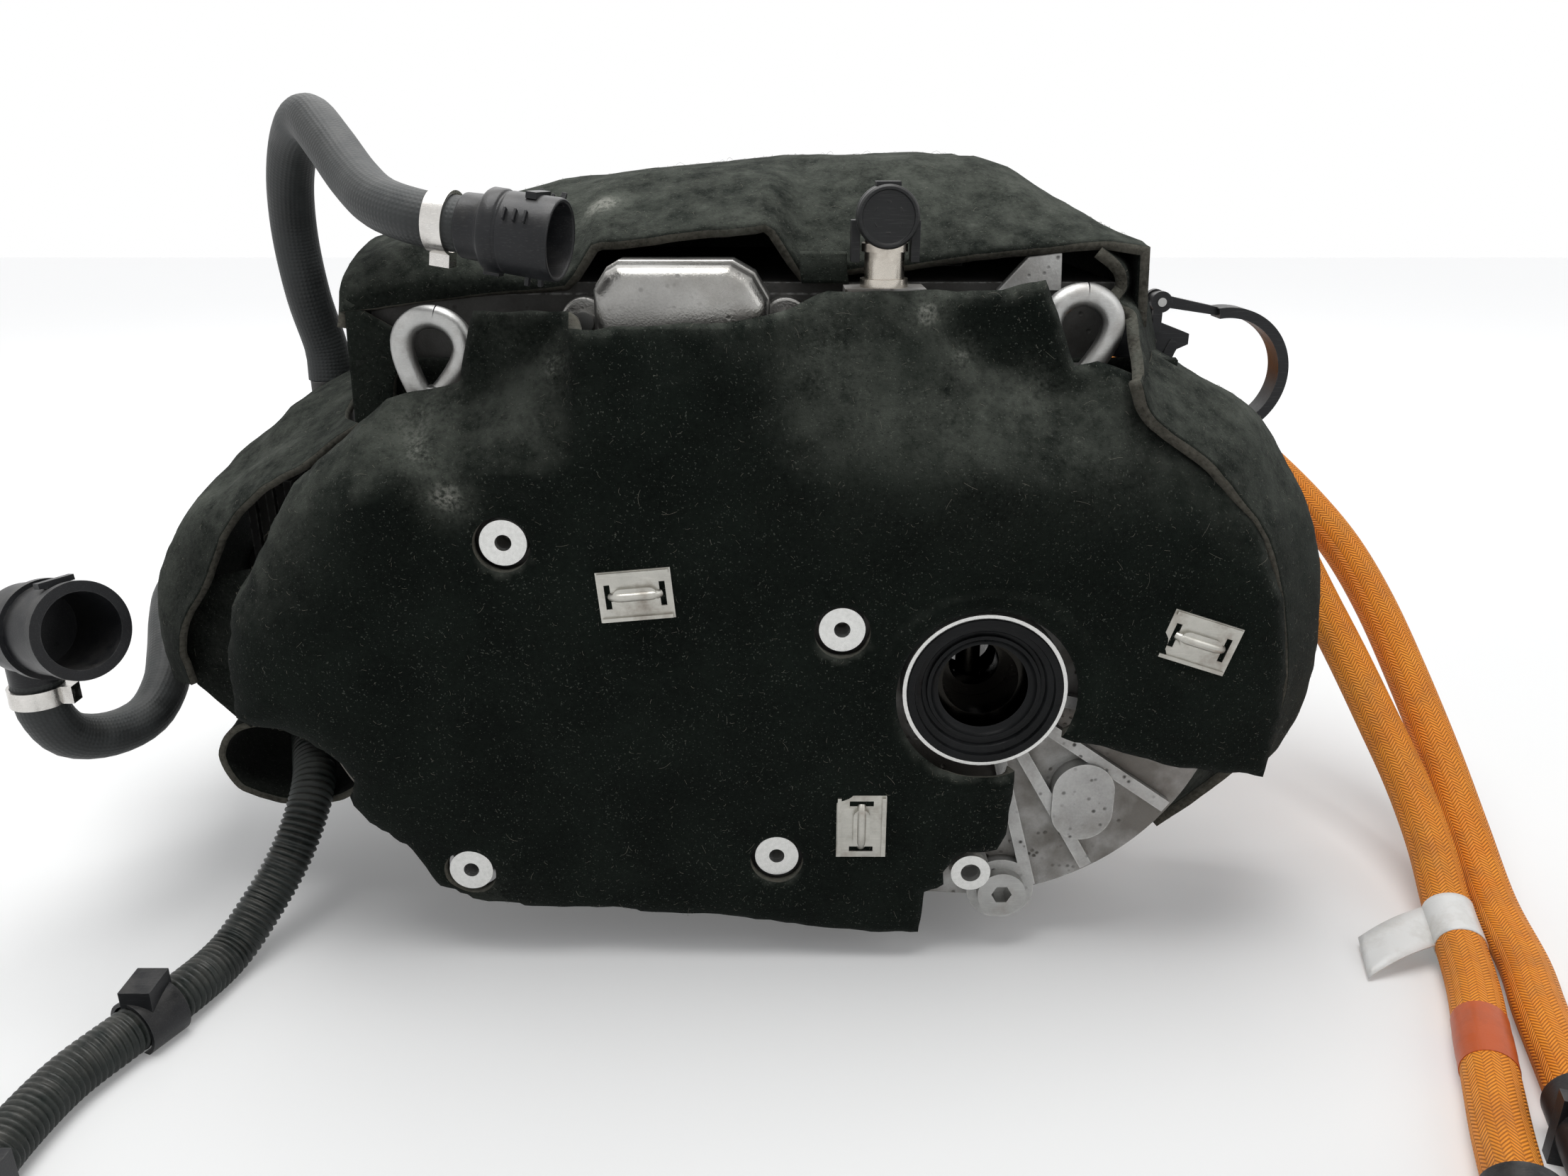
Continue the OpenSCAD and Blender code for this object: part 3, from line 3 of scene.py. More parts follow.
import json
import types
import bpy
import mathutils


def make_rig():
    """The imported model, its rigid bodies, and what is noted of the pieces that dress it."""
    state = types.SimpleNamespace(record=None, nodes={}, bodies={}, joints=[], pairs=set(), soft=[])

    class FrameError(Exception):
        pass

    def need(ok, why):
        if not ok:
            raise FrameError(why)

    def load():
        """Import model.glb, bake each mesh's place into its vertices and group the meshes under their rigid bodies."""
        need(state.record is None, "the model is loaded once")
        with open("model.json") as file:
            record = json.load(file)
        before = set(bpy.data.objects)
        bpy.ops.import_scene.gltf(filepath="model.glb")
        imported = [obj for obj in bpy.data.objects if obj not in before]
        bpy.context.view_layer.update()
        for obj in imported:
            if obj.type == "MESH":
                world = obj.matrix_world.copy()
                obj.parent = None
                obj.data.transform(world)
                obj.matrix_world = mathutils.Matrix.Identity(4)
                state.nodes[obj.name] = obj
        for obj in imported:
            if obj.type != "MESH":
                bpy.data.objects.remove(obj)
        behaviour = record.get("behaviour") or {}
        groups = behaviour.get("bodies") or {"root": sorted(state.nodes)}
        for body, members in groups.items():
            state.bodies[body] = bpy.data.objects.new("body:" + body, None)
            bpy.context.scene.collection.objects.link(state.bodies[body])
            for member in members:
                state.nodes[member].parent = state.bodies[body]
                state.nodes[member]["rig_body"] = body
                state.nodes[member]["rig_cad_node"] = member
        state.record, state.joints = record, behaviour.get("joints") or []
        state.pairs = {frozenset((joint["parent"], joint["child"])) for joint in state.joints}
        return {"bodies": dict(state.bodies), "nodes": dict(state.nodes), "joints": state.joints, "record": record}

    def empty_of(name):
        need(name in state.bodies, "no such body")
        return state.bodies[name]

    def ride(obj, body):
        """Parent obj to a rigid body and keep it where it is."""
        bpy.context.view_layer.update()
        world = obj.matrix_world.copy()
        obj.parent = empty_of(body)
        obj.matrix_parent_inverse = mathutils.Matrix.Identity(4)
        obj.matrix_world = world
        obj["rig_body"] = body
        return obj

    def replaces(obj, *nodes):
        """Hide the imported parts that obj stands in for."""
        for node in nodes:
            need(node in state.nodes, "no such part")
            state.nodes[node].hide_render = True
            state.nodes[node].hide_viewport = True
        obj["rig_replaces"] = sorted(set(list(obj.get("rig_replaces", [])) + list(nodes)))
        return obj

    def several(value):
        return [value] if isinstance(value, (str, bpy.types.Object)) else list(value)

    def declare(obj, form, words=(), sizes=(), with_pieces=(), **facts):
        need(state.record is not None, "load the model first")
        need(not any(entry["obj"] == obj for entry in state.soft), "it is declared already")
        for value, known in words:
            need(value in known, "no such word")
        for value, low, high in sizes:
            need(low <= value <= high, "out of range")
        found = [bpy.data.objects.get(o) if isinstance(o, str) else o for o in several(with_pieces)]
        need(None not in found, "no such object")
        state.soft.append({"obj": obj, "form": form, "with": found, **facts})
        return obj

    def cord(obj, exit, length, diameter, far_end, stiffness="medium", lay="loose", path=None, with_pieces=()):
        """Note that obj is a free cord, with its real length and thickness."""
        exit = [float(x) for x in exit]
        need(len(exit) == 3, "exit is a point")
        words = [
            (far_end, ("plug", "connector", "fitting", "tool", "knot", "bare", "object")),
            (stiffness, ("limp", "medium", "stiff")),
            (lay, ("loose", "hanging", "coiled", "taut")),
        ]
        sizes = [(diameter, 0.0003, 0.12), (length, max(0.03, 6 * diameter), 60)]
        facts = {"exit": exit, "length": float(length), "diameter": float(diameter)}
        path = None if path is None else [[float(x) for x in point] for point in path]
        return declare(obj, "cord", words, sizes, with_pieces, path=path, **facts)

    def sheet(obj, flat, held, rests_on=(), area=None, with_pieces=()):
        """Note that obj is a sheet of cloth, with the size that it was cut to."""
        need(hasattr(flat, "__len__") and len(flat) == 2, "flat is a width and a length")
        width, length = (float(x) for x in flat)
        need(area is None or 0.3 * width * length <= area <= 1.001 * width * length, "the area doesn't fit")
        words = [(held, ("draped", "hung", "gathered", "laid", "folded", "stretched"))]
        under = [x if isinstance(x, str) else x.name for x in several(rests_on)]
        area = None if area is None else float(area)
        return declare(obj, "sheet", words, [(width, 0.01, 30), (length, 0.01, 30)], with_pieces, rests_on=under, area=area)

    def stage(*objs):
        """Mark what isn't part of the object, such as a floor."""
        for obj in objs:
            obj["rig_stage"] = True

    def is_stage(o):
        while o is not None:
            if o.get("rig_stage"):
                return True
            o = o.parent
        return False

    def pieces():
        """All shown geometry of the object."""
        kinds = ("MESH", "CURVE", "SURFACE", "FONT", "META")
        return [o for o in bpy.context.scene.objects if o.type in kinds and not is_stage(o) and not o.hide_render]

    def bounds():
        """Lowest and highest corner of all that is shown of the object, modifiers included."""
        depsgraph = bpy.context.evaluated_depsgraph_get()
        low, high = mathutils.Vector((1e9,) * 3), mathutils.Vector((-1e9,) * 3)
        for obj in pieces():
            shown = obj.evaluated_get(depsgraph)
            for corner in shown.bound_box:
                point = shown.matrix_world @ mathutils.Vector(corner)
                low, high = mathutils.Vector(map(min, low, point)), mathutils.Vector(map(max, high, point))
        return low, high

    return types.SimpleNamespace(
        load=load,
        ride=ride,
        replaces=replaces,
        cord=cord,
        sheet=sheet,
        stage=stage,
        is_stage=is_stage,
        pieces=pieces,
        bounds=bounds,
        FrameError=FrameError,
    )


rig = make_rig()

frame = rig.load()

import json
import logging
import math
import random
from dataclasses import dataclass, field
from enum import Enum
from typing import Callable, ClassVar, Iterable, Sequence

import bpy
import numpy as np
from mathutils import Vector, noise
from mathutils.geometry import delaunay_2d_cdt

Point = tuple[float, float, float]
Spot = tuple[float, float]
Colour = tuple[float, float, float]
Row = tuple[float, ...]
Socket = bpy.types.NodeSocket
Piece = bpy.types.Object

LOG = logging.getLogger("drive_unit")
CAD_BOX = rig.bounds()
HOUSING = "housing"
SIZE_FILE = "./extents.json"
FLOOR_Z = -0.165
FELT_FACE_Y = -0.008
DARK_SLOT = 2
FELT_CLIPS = [(-0.181, 0.057, 5.0), (0.107, 0.031, -18.0), (-0.064, -0.077, 90.0)]


def metres(*rows: Sequence[float]) -> list[Row]:
    """Rows of numbers given in millimetres, in metres."""
    return [tuple(number / 1000 for number in row) for row in rows]


def clamp(value: float, low: float = 0.0, high: float = 1.0) -> float:
    """Value held between low and high."""
    return max(low, min(high, value))


def shade(colour: Colour, factor: float, more: float = 0.0) -> Colour:
    """A colour made darker or paler."""
    return tuple(min(1.0, part * factor + more) for part in colour)


def height_at(knots: Sequence[Row], x: float) -> float:
    """The height at x of a line through (x, height) knots."""
    return float(np.interp(x, *zip(*knots)))


def ease(value: np.ndarray | float, low: float, high: float) -> np.ndarray | float:
    """A smooth step from 0 at low to 1 at high."""
    t = np.clip((value - low) / (high - low), 0.0, 1.0)
    return t * t * (3.0 - 2.0 * t)


def polar(radius: float, degrees: float) -> Spot:
    """A point at a radius and an angle."""
    return radius * math.cos(math.radians(degrees)), radius * math.sin(math.radians(degrees))


def bend(a: Vector, b: Vector, c: Vector, d: Vector, t: float) -> Vector:
    """A point between b and c on a smooth line that also passes a and d."""
    pull = (c - a) * t + (2 * a - 5 * b + 4 * c - d) * t * t + (3 * b - a - 3 * c + d) * t ** 3
    return b + 0.5 * pull


def runs(given: Sequence[Vector]) -> Iterable[tuple[Vector, Vector, Vector, Vector]]:
    """Each stretch between neighbouring points, with the points before and after it."""
    ends = [2 * given[0] - given[1], *given, 2 * given[-1] - given[-2]]
    return zip(ends, ends[1:], ends[2:], ends[3:])


def smooth_path(points: Sequence[Point], step: float) -> list[Vector]:
    """A smooth line through given points.

    Args:
        points: the points that the line passes through.
        step: about how far apart the returned points lie, in metres.

    Returns:
        Points along the line, ends included.
    """
    given = [Vector(p) for p in points]
    line: list[Vector] = []
    for a, b, c, d in runs(given):
        count = max(2, round((c - b).length / step))
        line += [bend(a, b, c, d, i / count) for i in range(count)]
    line.append(given[-1])
    return line


def path_length(line: Sequence[Vector]) -> float:
    """The length of a line of points."""
    return sum((b - a).length for a, b in zip(line, line[1:]))


def along(line: Sequence[Vector], distance: float) -> tuple[Vector, Vector]:
    """The point at a distance along a line, and the line's direction there.

    Args:
        line: the points of the line.
        distance: how far along it, in metres.

    Returns:
        The point and the line's direction there.
    """
    left = distance
    for a, b in zip(line, line[1:]):
        span = (b - a).length
        if left <= span:
            return a + (b - a) * (left / span), (b - a).normalized()
        left -= span
    return line[-1], (line[-1] - line[-2]).normalized()


def stretch(line: Sequence[Vector], start: float, end: float, step: float) -> list[Vector]:
    """The part of a line between two distances along it."""
    count = max(2, round((end - start) / step))
    return [along(line, start + (end - start) * i / count)[0] for i in range(count + 1)]


def loft(curves: Sequence[Sequence[Point]], across: int, rows_each: int) -> list[list[Vector]]:
    """A smooth sheet through several curves.

    Args:
        curves: the curves, front to back, each a few given points.
        across: how many points each row has.
        rows_each: how many rows lie between neighbouring curves.

    Returns:
        The rows of points.
    """
    even: list[list[Vector]] = []
    for curve in curves:
        line = smooth_path(curve, 0.003)
        total = path_length(line)
        even.append([along(line, total * k / (across - 1))[0] for k in range(across)])
    rows: list[list[Vector]] = []
    for a, b, c, d in zip([even[0]] + even, even, even[1:], even[2:] + [even[-1]]):
        for i in range(rows_each):
            rows.append([bend(*spots, i / rows_each) for spots in zip(a, b, c, d)])
    rows.append(even[-1])
    return rows


@dataclass(frozen=True)
class Axes:
    """A place and three square directions, for building a piece where it belongs."""

    origin: Vector
    right: Vector
    up: Vector
    out: Vector

    @staticmethod
    def aimed(origin: Sequence[float], out: Sequence[float], hint: Sequence[float] = (0, 0, 1)) -> "Axes":
        """Axes at origin with out along a direction and up as near to hint as it can be.

        Args:
            origin: where they lie.
            out: the direction that out follows.
            hint: the direction that up keeps near to.

        Returns:
            The axes.
        """
        forward = Vector(out).normalized()
        right = Vector(hint).cross(forward).normalized()
        return Axes(Vector(origin), right, forward.cross(right), forward)

    def at(self, x: float, y: float, z: float) -> Vector:
        """The point that lies x to the right, y up and z out."""
        return self.origin + x * self.right + y * self.up + z * self.out

    def shifted(self, x: float, y: float, z: float) -> "Axes":
        """The same directions at another place."""
        return Axes(self.at(x, y, z), self.right, self.up, self.out)

    def turned(self, degrees: float) -> "Axes":
        """The same place, turned about out."""
        c, s = polar(1.0, degrees)
        return Axes(self.origin, c * self.right + s * self.up, c * self.up - s * self.right, self.out)


class Skin:
    """Points, faces and surface coordinates gathered for one piece."""

    def __init__(self) -> None:
        """Starts with nothing in it."""
        self.points: list[Vector] = []
        self.faces: list[tuple[int, ...]] = []
        self.chart: list[tuple[Spot, ...]] = []
        self.finish_index: list[int] = []
        self.current = 0

    def face(self, corners: Sequence[int], chart: Sequence[Spot] | None = None) -> None:
        """Adds one face, with the surface coordinates of its corners.

        Args:
            corners: the numbers of its points.
            chart: the surface coordinates of its corners.
        """
        self.faces.append(tuple(corners))
        self.chart.append(tuple(chart) if chart else tuple((0.0, 0.0) for _ in corners))
        self.finish_index.append(self.current)

    def ring(self, points: Iterable[Vector]) -> list[int]:
        """Adds points and returns their numbers.

        Args:
            points: the points.

        Returns:
            The points' numbers.
        """
        first = len(self.points)
        self.points.extend(points)
        return list(range(first, len(self.points)))

    def bridge(self, first: list[int], second: list[int], v0: float, v1: float) -> None:
        """Joins two closed rings of as many points by quads.

        Args:
            first: the first ring's numbers.
            second: the second ring's numbers.
            v0: the surface coordinate along the sweep at the first ring.
            v1: the same at the second ring.
        """
        n = len(first)
        for k in range(n):
            j = (k + 1) % n
            u0, u1 = k / n, (k + 1) / n
            chart = ((u0, v0), (u1, v0), (u1, v1), (u0, v1))
            self.face((first[k], first[j], second[j], second[k]), chart)

    def tube(
        self, line: Sequence[Vector], radius: Callable[[float], float], sides: int, caps: bool = True
    ) -> None:
        """Sweeps a round section along a line without twist.

        Args:
            line: the centreline.
            radius: the section's radius at a distance along the line.
            sides: how many sides the section has.
            caps: whether the ends are closed.
        """
        heading = (line[1] - line[0]).normalized()
        normal = heading.orthogonal().normalized()
        travelled = 0.0
        previous: list[int] = []
        for i, centre in enumerate(line):
            step = line[min(i + 1, len(line) - 1)] - line[max(i - 1, 0)]
            turned = step.normalized()
            normal = (normal - normal.dot(turned) * turned).normalized()
            side = turned.cross(normal)
            before = travelled
            travelled += (centre - line[i - 1]).length if i else 0.0
            r = radius(travelled)
            spots = [polar(r, 360 * k / sides) for k in range(sides)]
            ring = self.ring(centre + c * normal + s * side for c, s in spots)
            if previous:
                self.bridge(previous, ring, before, travelled)
            elif caps:
                self.face(ring[::-1])
            previous = ring
        if caps:
            self.face(previous)

    def lathe(self, axes: Axes, profile: Sequence[Spot], sides: int) -> None:
        """Turns a profile of (radius, distance out) points about the axes' out direction.

        Args:
            axes: where it is turned.
            profile: the profile's points.
            sides: how many sides it has.
        """
        previous: list[int] = []
        travelled = 0.0
        last: Spot | None = None
        for r, z in profile:
            spots = [polar(r, 360 * k / sides) for k in range(sides)]
            ring = self.ring([axes.at(0, 0, z)] if r == 0 else [axes.at(x, y, z) for x, y in spots])
            before = travelled
            travelled += math.dist(last, (r, z)) if last else 0.0
            if previous and len(previous) == len(ring):
                self.bridge(previous, ring, before, travelled)
            elif previous and len(ring) == 1:
                for k in range(sides):
                    self.face((previous[k], previous[(k + 1) % sides], ring[0]))
            elif previous:
                for k in range(sides):
                    self.face((previous[0], ring[(k + 1) % sides], ring[k]))
            previous = ring
            last = (r, z)

    def prism(self, axes: Axes, outline: Sequence[Spot], low: float, high: float) -> None:
        """Extrudes an outline of (right, up) points between two distances out.

        Args:
            axes: where it stands.
            outline: the outline's points.
            low: where it starts.
            high: where it ends.
        """
        bottom = self.ring(axes.at(x, y, low) for x, y in outline)
        top = self.ring(axes.at(x, y, high) for x, y in outline)
        self.bridge(bottom, top, low, high)
        self.face(bottom[::-1])
        self.face(top)

    def block(self, axes: Axes, low: Point, high: Point) -> None:
        """A box between two corners, in the axes' own directions."""
        corners = [(low[0], low[1]), (high[0], low[1]), (high[0], high[1]), (low[0], high[1])]
        self.prism(axes, corners, low[2], high[2])

    def grid(self, rows: Sequence[Sequence[Vector]]) -> None:
        """Adds a sheet of quads through rows of points.

        Args:
            rows: the rows, all of as many points.
        """
        numbers = [self.ring(row) for row in rows]
        for i, (a, b) in enumerate(zip(numbers, numbers[1:])):
            for k in range(len(a) - 1):
                spots = ((k, i), (k + 1, i), (k + 1, i + 1), (k, i + 1))
                chart = [(float(u), float(v)) for u, v in spots]
                self.face((a[k], a[k + 1], b[k + 1], b[k]), chart)

    def piece(
        self,
        name: str,
        *finishes: "Finish",
        sharp: float = 38.0,
        rounded: float = 0.0,
        node: str | None = None,
    ) -> Piece:
        """Makes the object that the gathered faces are, dressed and riding on the housing.

        Args:
            name: the piece's name.
            finishes: its finishes, in the order that faces number them.
            sharp: faces that meet at more than this angle, in degrees, keep a hard edge.
            rounded: the radius that its hard edges are rounded to, in metres.
            node: the plain solid that it stands in for.

        Returns:
            The new object.
        """
        mesh = bpy.data.meshes.new(name)
        mesh.from_pydata([tuple(p) for p in self.points], [], self.faces)
        layer = mesh.uv_layers.new(name="UVMap")
        flat = [c for corners in self.chart for spot in corners for c in spot]
        layer.data.foreach_set("uv", flat)
        for finish in finishes:
            mesh.materials.append(finish.material())
        mesh.polygons.foreach_set("material_index", self.finish_index)
        mesh.polygons.foreach_set("use_smooth", [True] * len(self.faces))
        mesh.set_sharp_from_angle(angle=math.radians(sharp))
        mesh.update()
        made = linked(name, mesh)
        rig.ride(made, HOUSING)
        LOG.info("made %s with %d faces", name, len(self.faces))
        if rounded:
            soften(made, rounded)
        if node:
            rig.replaces(made, node)
        return made


def linked(name: str, data: bpy.types.ID) -> Piece:
    """A new object in the scene.

    Args:
        name: the object's name.
        data: the mesh, camera or lamp that it shows.

    Returns:
        The object.
    """
    made = bpy.data.objects.new(name, data)
    bpy.context.scene.collection.objects.link(made)
    return made


def soften(piece: Piece, width: float) -> None:
    """Rounds a piece's hard edges by a small radius.

    Args:
        piece: the piece.
        width: the radius, in metres.
    """
    rounding = piece.modifiers.new("rounding", "BEVEL")
    rounding.width = width
    rounding.segments = 2
    rounding.limit_method = "ANGLE"
    rounding.angle_limit = math.radians(35)
    rounding.harden_normals = False


class Graph:
    """A shader tree with short ways to add and join nodes."""

    def __init__(self, tree: bpy.types.NodeTree) -> None:
        """Works on a material's or a group's tree."""
        self.tree = tree

    def add(self, kind: str, **settings: object) -> bpy.types.Node:
        """A new node of a kind, with its settings.

        Args:
            kind: the node's type.
            settings: its properties.

        Returns:
            The node.
        """
        node = self.tree.nodes.new(kind)
        for key, value in settings.items():
            setattr(node, key, value)
        return node

    def feed(self, target: Socket, value: "Socket | float | Sequence[float]") -> None:
        """Joins a socket to a source, or sets its value.

        Args:
            target: the socket.
            value: a socket to join to it, or its value.
        """
        if isinstance(value, bpy.types.NodeSocket):
            self.tree.links.new(value, target)
        elif target.type == "RGBA" and len(value) == 3:
            target.default_value = (*value, 1.0)
        else:
            target.default_value = value

    def math(self, operation: str, first: object, second: object = 0.0, third: object = 0.0) -> Socket:
        """The result of a math node.

        Args:
            operation: the operation.
            first: its first number.
            second: its second number.
            third: its third number.

        Returns:
            The node's output.
        """
        node = self.add("ShaderNodeMath", operation=operation)
        for socket, value in zip(node.inputs, (first, second, third)):
            self.feed(socket, value)
        return node.outputs[0]

    def noise(self, vector: Socket, scale: object, detail: float = 2.0, rough: float = 0.5) -> Socket:
        """Soft noise from 0 to 1.

        Args:
            vector: where it is looked up.
            scale: how fine it is.
            detail: how many finer layers it has.
            rough: how strong those are.

        Returns:
            The noise.
        """
        node = self.add("ShaderNodeTexNoise")
        self.feed(node.inputs["Vector"], vector)
        self.feed(node.inputs["Scale"], scale)
        node.inputs["Detail"].default_value = detail
        node.inputs["Roughness"].default_value = rough
        return node.outputs[0]

    def cells(self, vector: Socket, scale: object) -> Socket:
        """Distance to the nearest of scattered points.

        Args:
            vector: where it is looked up.
            scale: how close the points lie.

        Returns:
            The distance.
        """
        node = self.add("ShaderNodeTexVoronoi", feature="F1")
        self.feed(node.inputs["Vector"], vector)
        self.feed(node.inputs["Scale"], scale)
        return node.outputs["Distance"]

    def remap(
        self, value: Socket, low: object, high: object, to_low: float = 0.0, to_high: float = 1.0
    ) -> Socket:
        """A value moved from one range to another, and held in it.

        Args:
            value: the value.
            low: where its range starts.
            high: where it ends.
            to_low: where the new range starts.
            to_high: where that ends.

        Returns:
            The new value.
        """
        node = self.add("ShaderNodeMapRange")
        for socket, number in zip(node.inputs, (value, low, high, to_low, to_high)):
            self.feed(socket, number)
        return node.outputs[0]

    def blend(self, factor: object, first: object, second: object) -> Socket:
        """A colour between two.

        Args:
            factor: how much of the second.
            first: the first colour.
            second: the second colour.

        Returns:
            The colour.
        """
        node = self.add("ShaderNodeMix", data_type="RGBA")
        self.feed(node.inputs[0], factor)
        self.feed(node.inputs[6], first)
        self.feed(node.inputs[7], second)
        return node.outputs[2]

    def place(self) -> Socket:
        """The surface's place in the part's own frame, in metres."""
        return self.add("ShaderNodeTexCoord").outputs["Object"]

    def chart(self) -> tuple[Socket, ...]:
        """The share round a swept piece and the distance along it, in metres."""
        return self.parts(self.add("ShaderNodeTexCoord").outputs["UV"])[:2]

    def parts(self, vector: Socket) -> tuple[Socket, Socket, Socket]:
        """The three parts of a vector.

        Args:
            vector: the vector.

        Returns:
            Its x, y and z.
        """
        split = self.add("ShaderNodeSeparateXYZ")
        self.feed(split.inputs[0], vector)
        return split.outputs[0], split.outputs[1], split.outputs[2]

    def effect(self, effect: "Effect", **inputs: object) -> dict[str, Socket]:
        """Places a shared effect and returns its outputs by name.

        Args:
            effect: which effect.
            inputs: its inputs by name.

        Returns:
            The effect's outputs by name.
        """
        node = self.add("ShaderNodeGroup", node_tree=EffectGroup.tree(effect))
        for name, value in inputs.items():
            self.feed(node.inputs[name], value)
        return {socket.name: socket for socket in node.outputs}

    def bump(self, height: Socket, depth: float, strength: float) -> Socket:
        """A normal that follows a height.

        Args:
            height: the height, from 0 to 1.
            depth: what its full range is, in metres.
            strength: how strongly it shows.

        Returns:
            The normal.
        """
        node = self.add("ShaderNodeBump")
        node.inputs["Strength"].default_value = strength
        node.inputs["Distance"].default_value = depth
        self.feed(node.inputs["Height"], height)
        return node.outputs[0]

    def times(self, first: object, second: object) -> Socket:
        """The product of two numbers."""
        return self.math("MULTIPLY", first, second)

    def weighed(self, value: object, weight: object, rest: object) -> Socket:
        """A value times its weight, plus the rest."""
        return self.math("MULTIPLY_ADD", value, weight, rest)

    def tint(self, base: object, colour: object, mask: Socket, amount: object) -> Socket:
        """A base tinted with a colour by an amount of a mask."""
        return self.blend(self.times(mask, amount), base, colour)

    def direct(self) -> Socket:
        """1 for a direct look, or one by way of a reflection or through glass, and 0 for other light.

        Returns:
            The value.
        """
        rays = self.add("ShaderNodeLightPath").outputs
        seen = self.math("MAXIMUM", rays["Is Camera Ray"], rays["Is Glossy Ray"])
        return self.math("MAXIMUM", seen, rays["Is Transmission Ray"])

    def shade(self, values: dict[str, object]) -> None:
        """Feeds the sockets of a material's own shader.

        Args:
            values: what each socket gets, by its name.
        """
        shader = self.tree.nodes["Principled BSDF"].inputs
        for name, value in values.items():
            self.feed(shader[name], value)


class Effect(Enum):
    """Surface effects that several finishes share."""

    FELT_NAP = "felt_nap"
    CAST_GRAIN = "cast_grain"
    MOULD_GRAIN = "mould_grain"
    EDGE_WEAR = "edge_wear"
    UPWARD_DUST_AND_LIGHT = "settled_dust"
    FINE_SCRATCHES = "fine_scratches"
    STAINS = "stains"


class EffectGroup:
    """One shared effect, built as a node group."""

    def __init__(self, effect: Effect) -> None:
        """Opens the effect's group and builds the effect in it.

        Args:
            effect: which effect.
        """
        self.graph = Graph(bpy.data.node_groups.new(effect.value, "ShaderNodeTree"))
        self.given: dict[str, Socket] = {}
        self.results: dict[str, Socket] = {}
        getattr(self, effect.value)()

    @staticmethod
    def tree(effect: Effect) -> bpy.types.NodeTree:
        """The group of an effect, made on first use."""
        return bpy.data.node_groups.get(effect.value) or EffectGroup(effect).graph.tree

    def start(self, *outputs: str, **inputs: float) -> Graph:
        """Gives the group its sockets: a place, number inputs and value outputs.

        Args:
            outputs: the names of its outputs.
            inputs: its number inputs and their defaults.

        Returns:
            The group's graph.
        """
        sockets = self.graph.tree.interface
        sockets.new_socket("Place", in_out="INPUT", socket_type="NodeSocketVector")
        for name, value in inputs.items():
            socket = sockets.new_socket(name, in_out="INPUT", socket_type="NodeSocketFloat")
            socket.default_value = value
        for name in outputs:
            sockets.new_socket(name, in_out="OUTPUT", socket_type="NodeSocketFloat")
        entry, leave = self.graph.add("NodeGroupInput"), self.graph.add("NodeGroupOutput")
        self.given = {socket.name: socket for socket in entry.outputs if socket.name}
        self.results = {socket.name: socket for socket in leave.inputs if socket.name}
        return self.graph

    def out(self, **values: Socket) -> None:
        """Feeds the group's outputs."""
        for name, value in values.items():
            self.graph.feed(self.results[name], value)

    def noise(self, scale: float, detail: float = 2.0, rough: float = 0.5) -> Socket:
        """Soft noise at a multiple of the group's own scale."""
        scaled = self.graph.times(self.given["Scale"], scale)
        return self.graph.noise(self.given["Place"], scaled, detail, rough)

    def cells(self, scale: float) -> Socket:
        """Scattered points at a multiple of the group's own scale."""
        return self.graph.cells(self.given["Place"], self.graph.times(self.given["Scale"], scale))

    def felt_nap(self) -> None:
        """Needled felt: tangled fibres, pinholes, pale stray fibres and slow changes of tone."""
        graph = self.start("Tone", "Fibres", "Pinholes", "Height", Scale=1.0)
        fine, clumps = self.noise(1500.0, 3.0, 0.65), self.noise(420.0, 3.0, 0.6)
        slow, stray = self.noise(26.0, 3.0, 0.55), self.noise(950.0, 1.0)
        pinholes = graph.remap(self.cells(380.0), 0.02, 0.20, 1.0, 0.0)
        height = graph.weighed(clumps, 0.7, graph.times(fine, 0.5))
        self.out(
            Tone=graph.weighed(slow, 0.55, graph.times(clumps, 0.45)),
            Fibres=graph.remap(stray, 0.66, 0.74),
            Pinholes=pinholes,
            Height=graph.weighed(pinholes, -0.35, height),
        )

    def cast_grain(self) -> None:
        """Die-cast skin: fine sand grain, blow-hole pits and flow marks."""
        graph = self.start("Tone", "Pits", "Height", Scale=1.0, Pitting=0.5)
        grain, flow = self.noise(900.0, 3.0, 0.6), self.noise(34.0, 4.0, 0.6)
        deep = graph.remap(self.cells(170.0), 0.10, 0.24, 1.0, 0.0)
        rare = graph.remap(self.noise(60.0, 1.0), 0.45, 0.62)
        pits = graph.times(graph.times(deep, rare), self.given["Pitting"])
        self.out(
            Tone=graph.weighed(flow, 0.75, graph.times(grain, 0.25)),
            Pits=pits,
            Height=graph.weighed(pits, -1.0, graph.times(grain, 0.4)),
        )

    def mould_grain(self) -> None:
        """Moulded plastic or rubber: a faint spark-eroded texture and cloudy gloss."""
        graph = self.start("Tone", "Height", Scale=1.0)
        fine, cloud = self.noise(1300.0, 2.0, 0.6), self.noise(48.0, 4.0, 0.6)
        self.out(Tone=cloud, Height=graph.weighed(cloud, 0.3, graph.times(fine, 0.7)))

    def edge_wear(self) -> None:
        """Where a rounded edge turns away from the flat face, broken up by noise."""
        graph = self.start("Mask", Radius=0.002, Break=260.0)
        rounded = graph.add("ShaderNodeBevel", samples=4)
        graph.feed(rounded.inputs["Radius"], self.given["Radius"])
        dot = graph.add("ShaderNodeVectorMath", operation="DOT_PRODUCT")
        graph.feed(dot.inputs[0], rounded.outputs[0])
        graph.feed(dot.inputs[1], graph.add("ShaderNodeNewGeometry").outputs["Normal"])
        turn = graph.remap(dot.outputs["Value"], 0.70, 0.98, 1.0, 0.0)
        broken = graph.noise(self.given["Place"], self.given["Break"], 3.0)
        self.out(Mask=graph.times(turn, graph.remap(broken, 0.38, 0.62)))

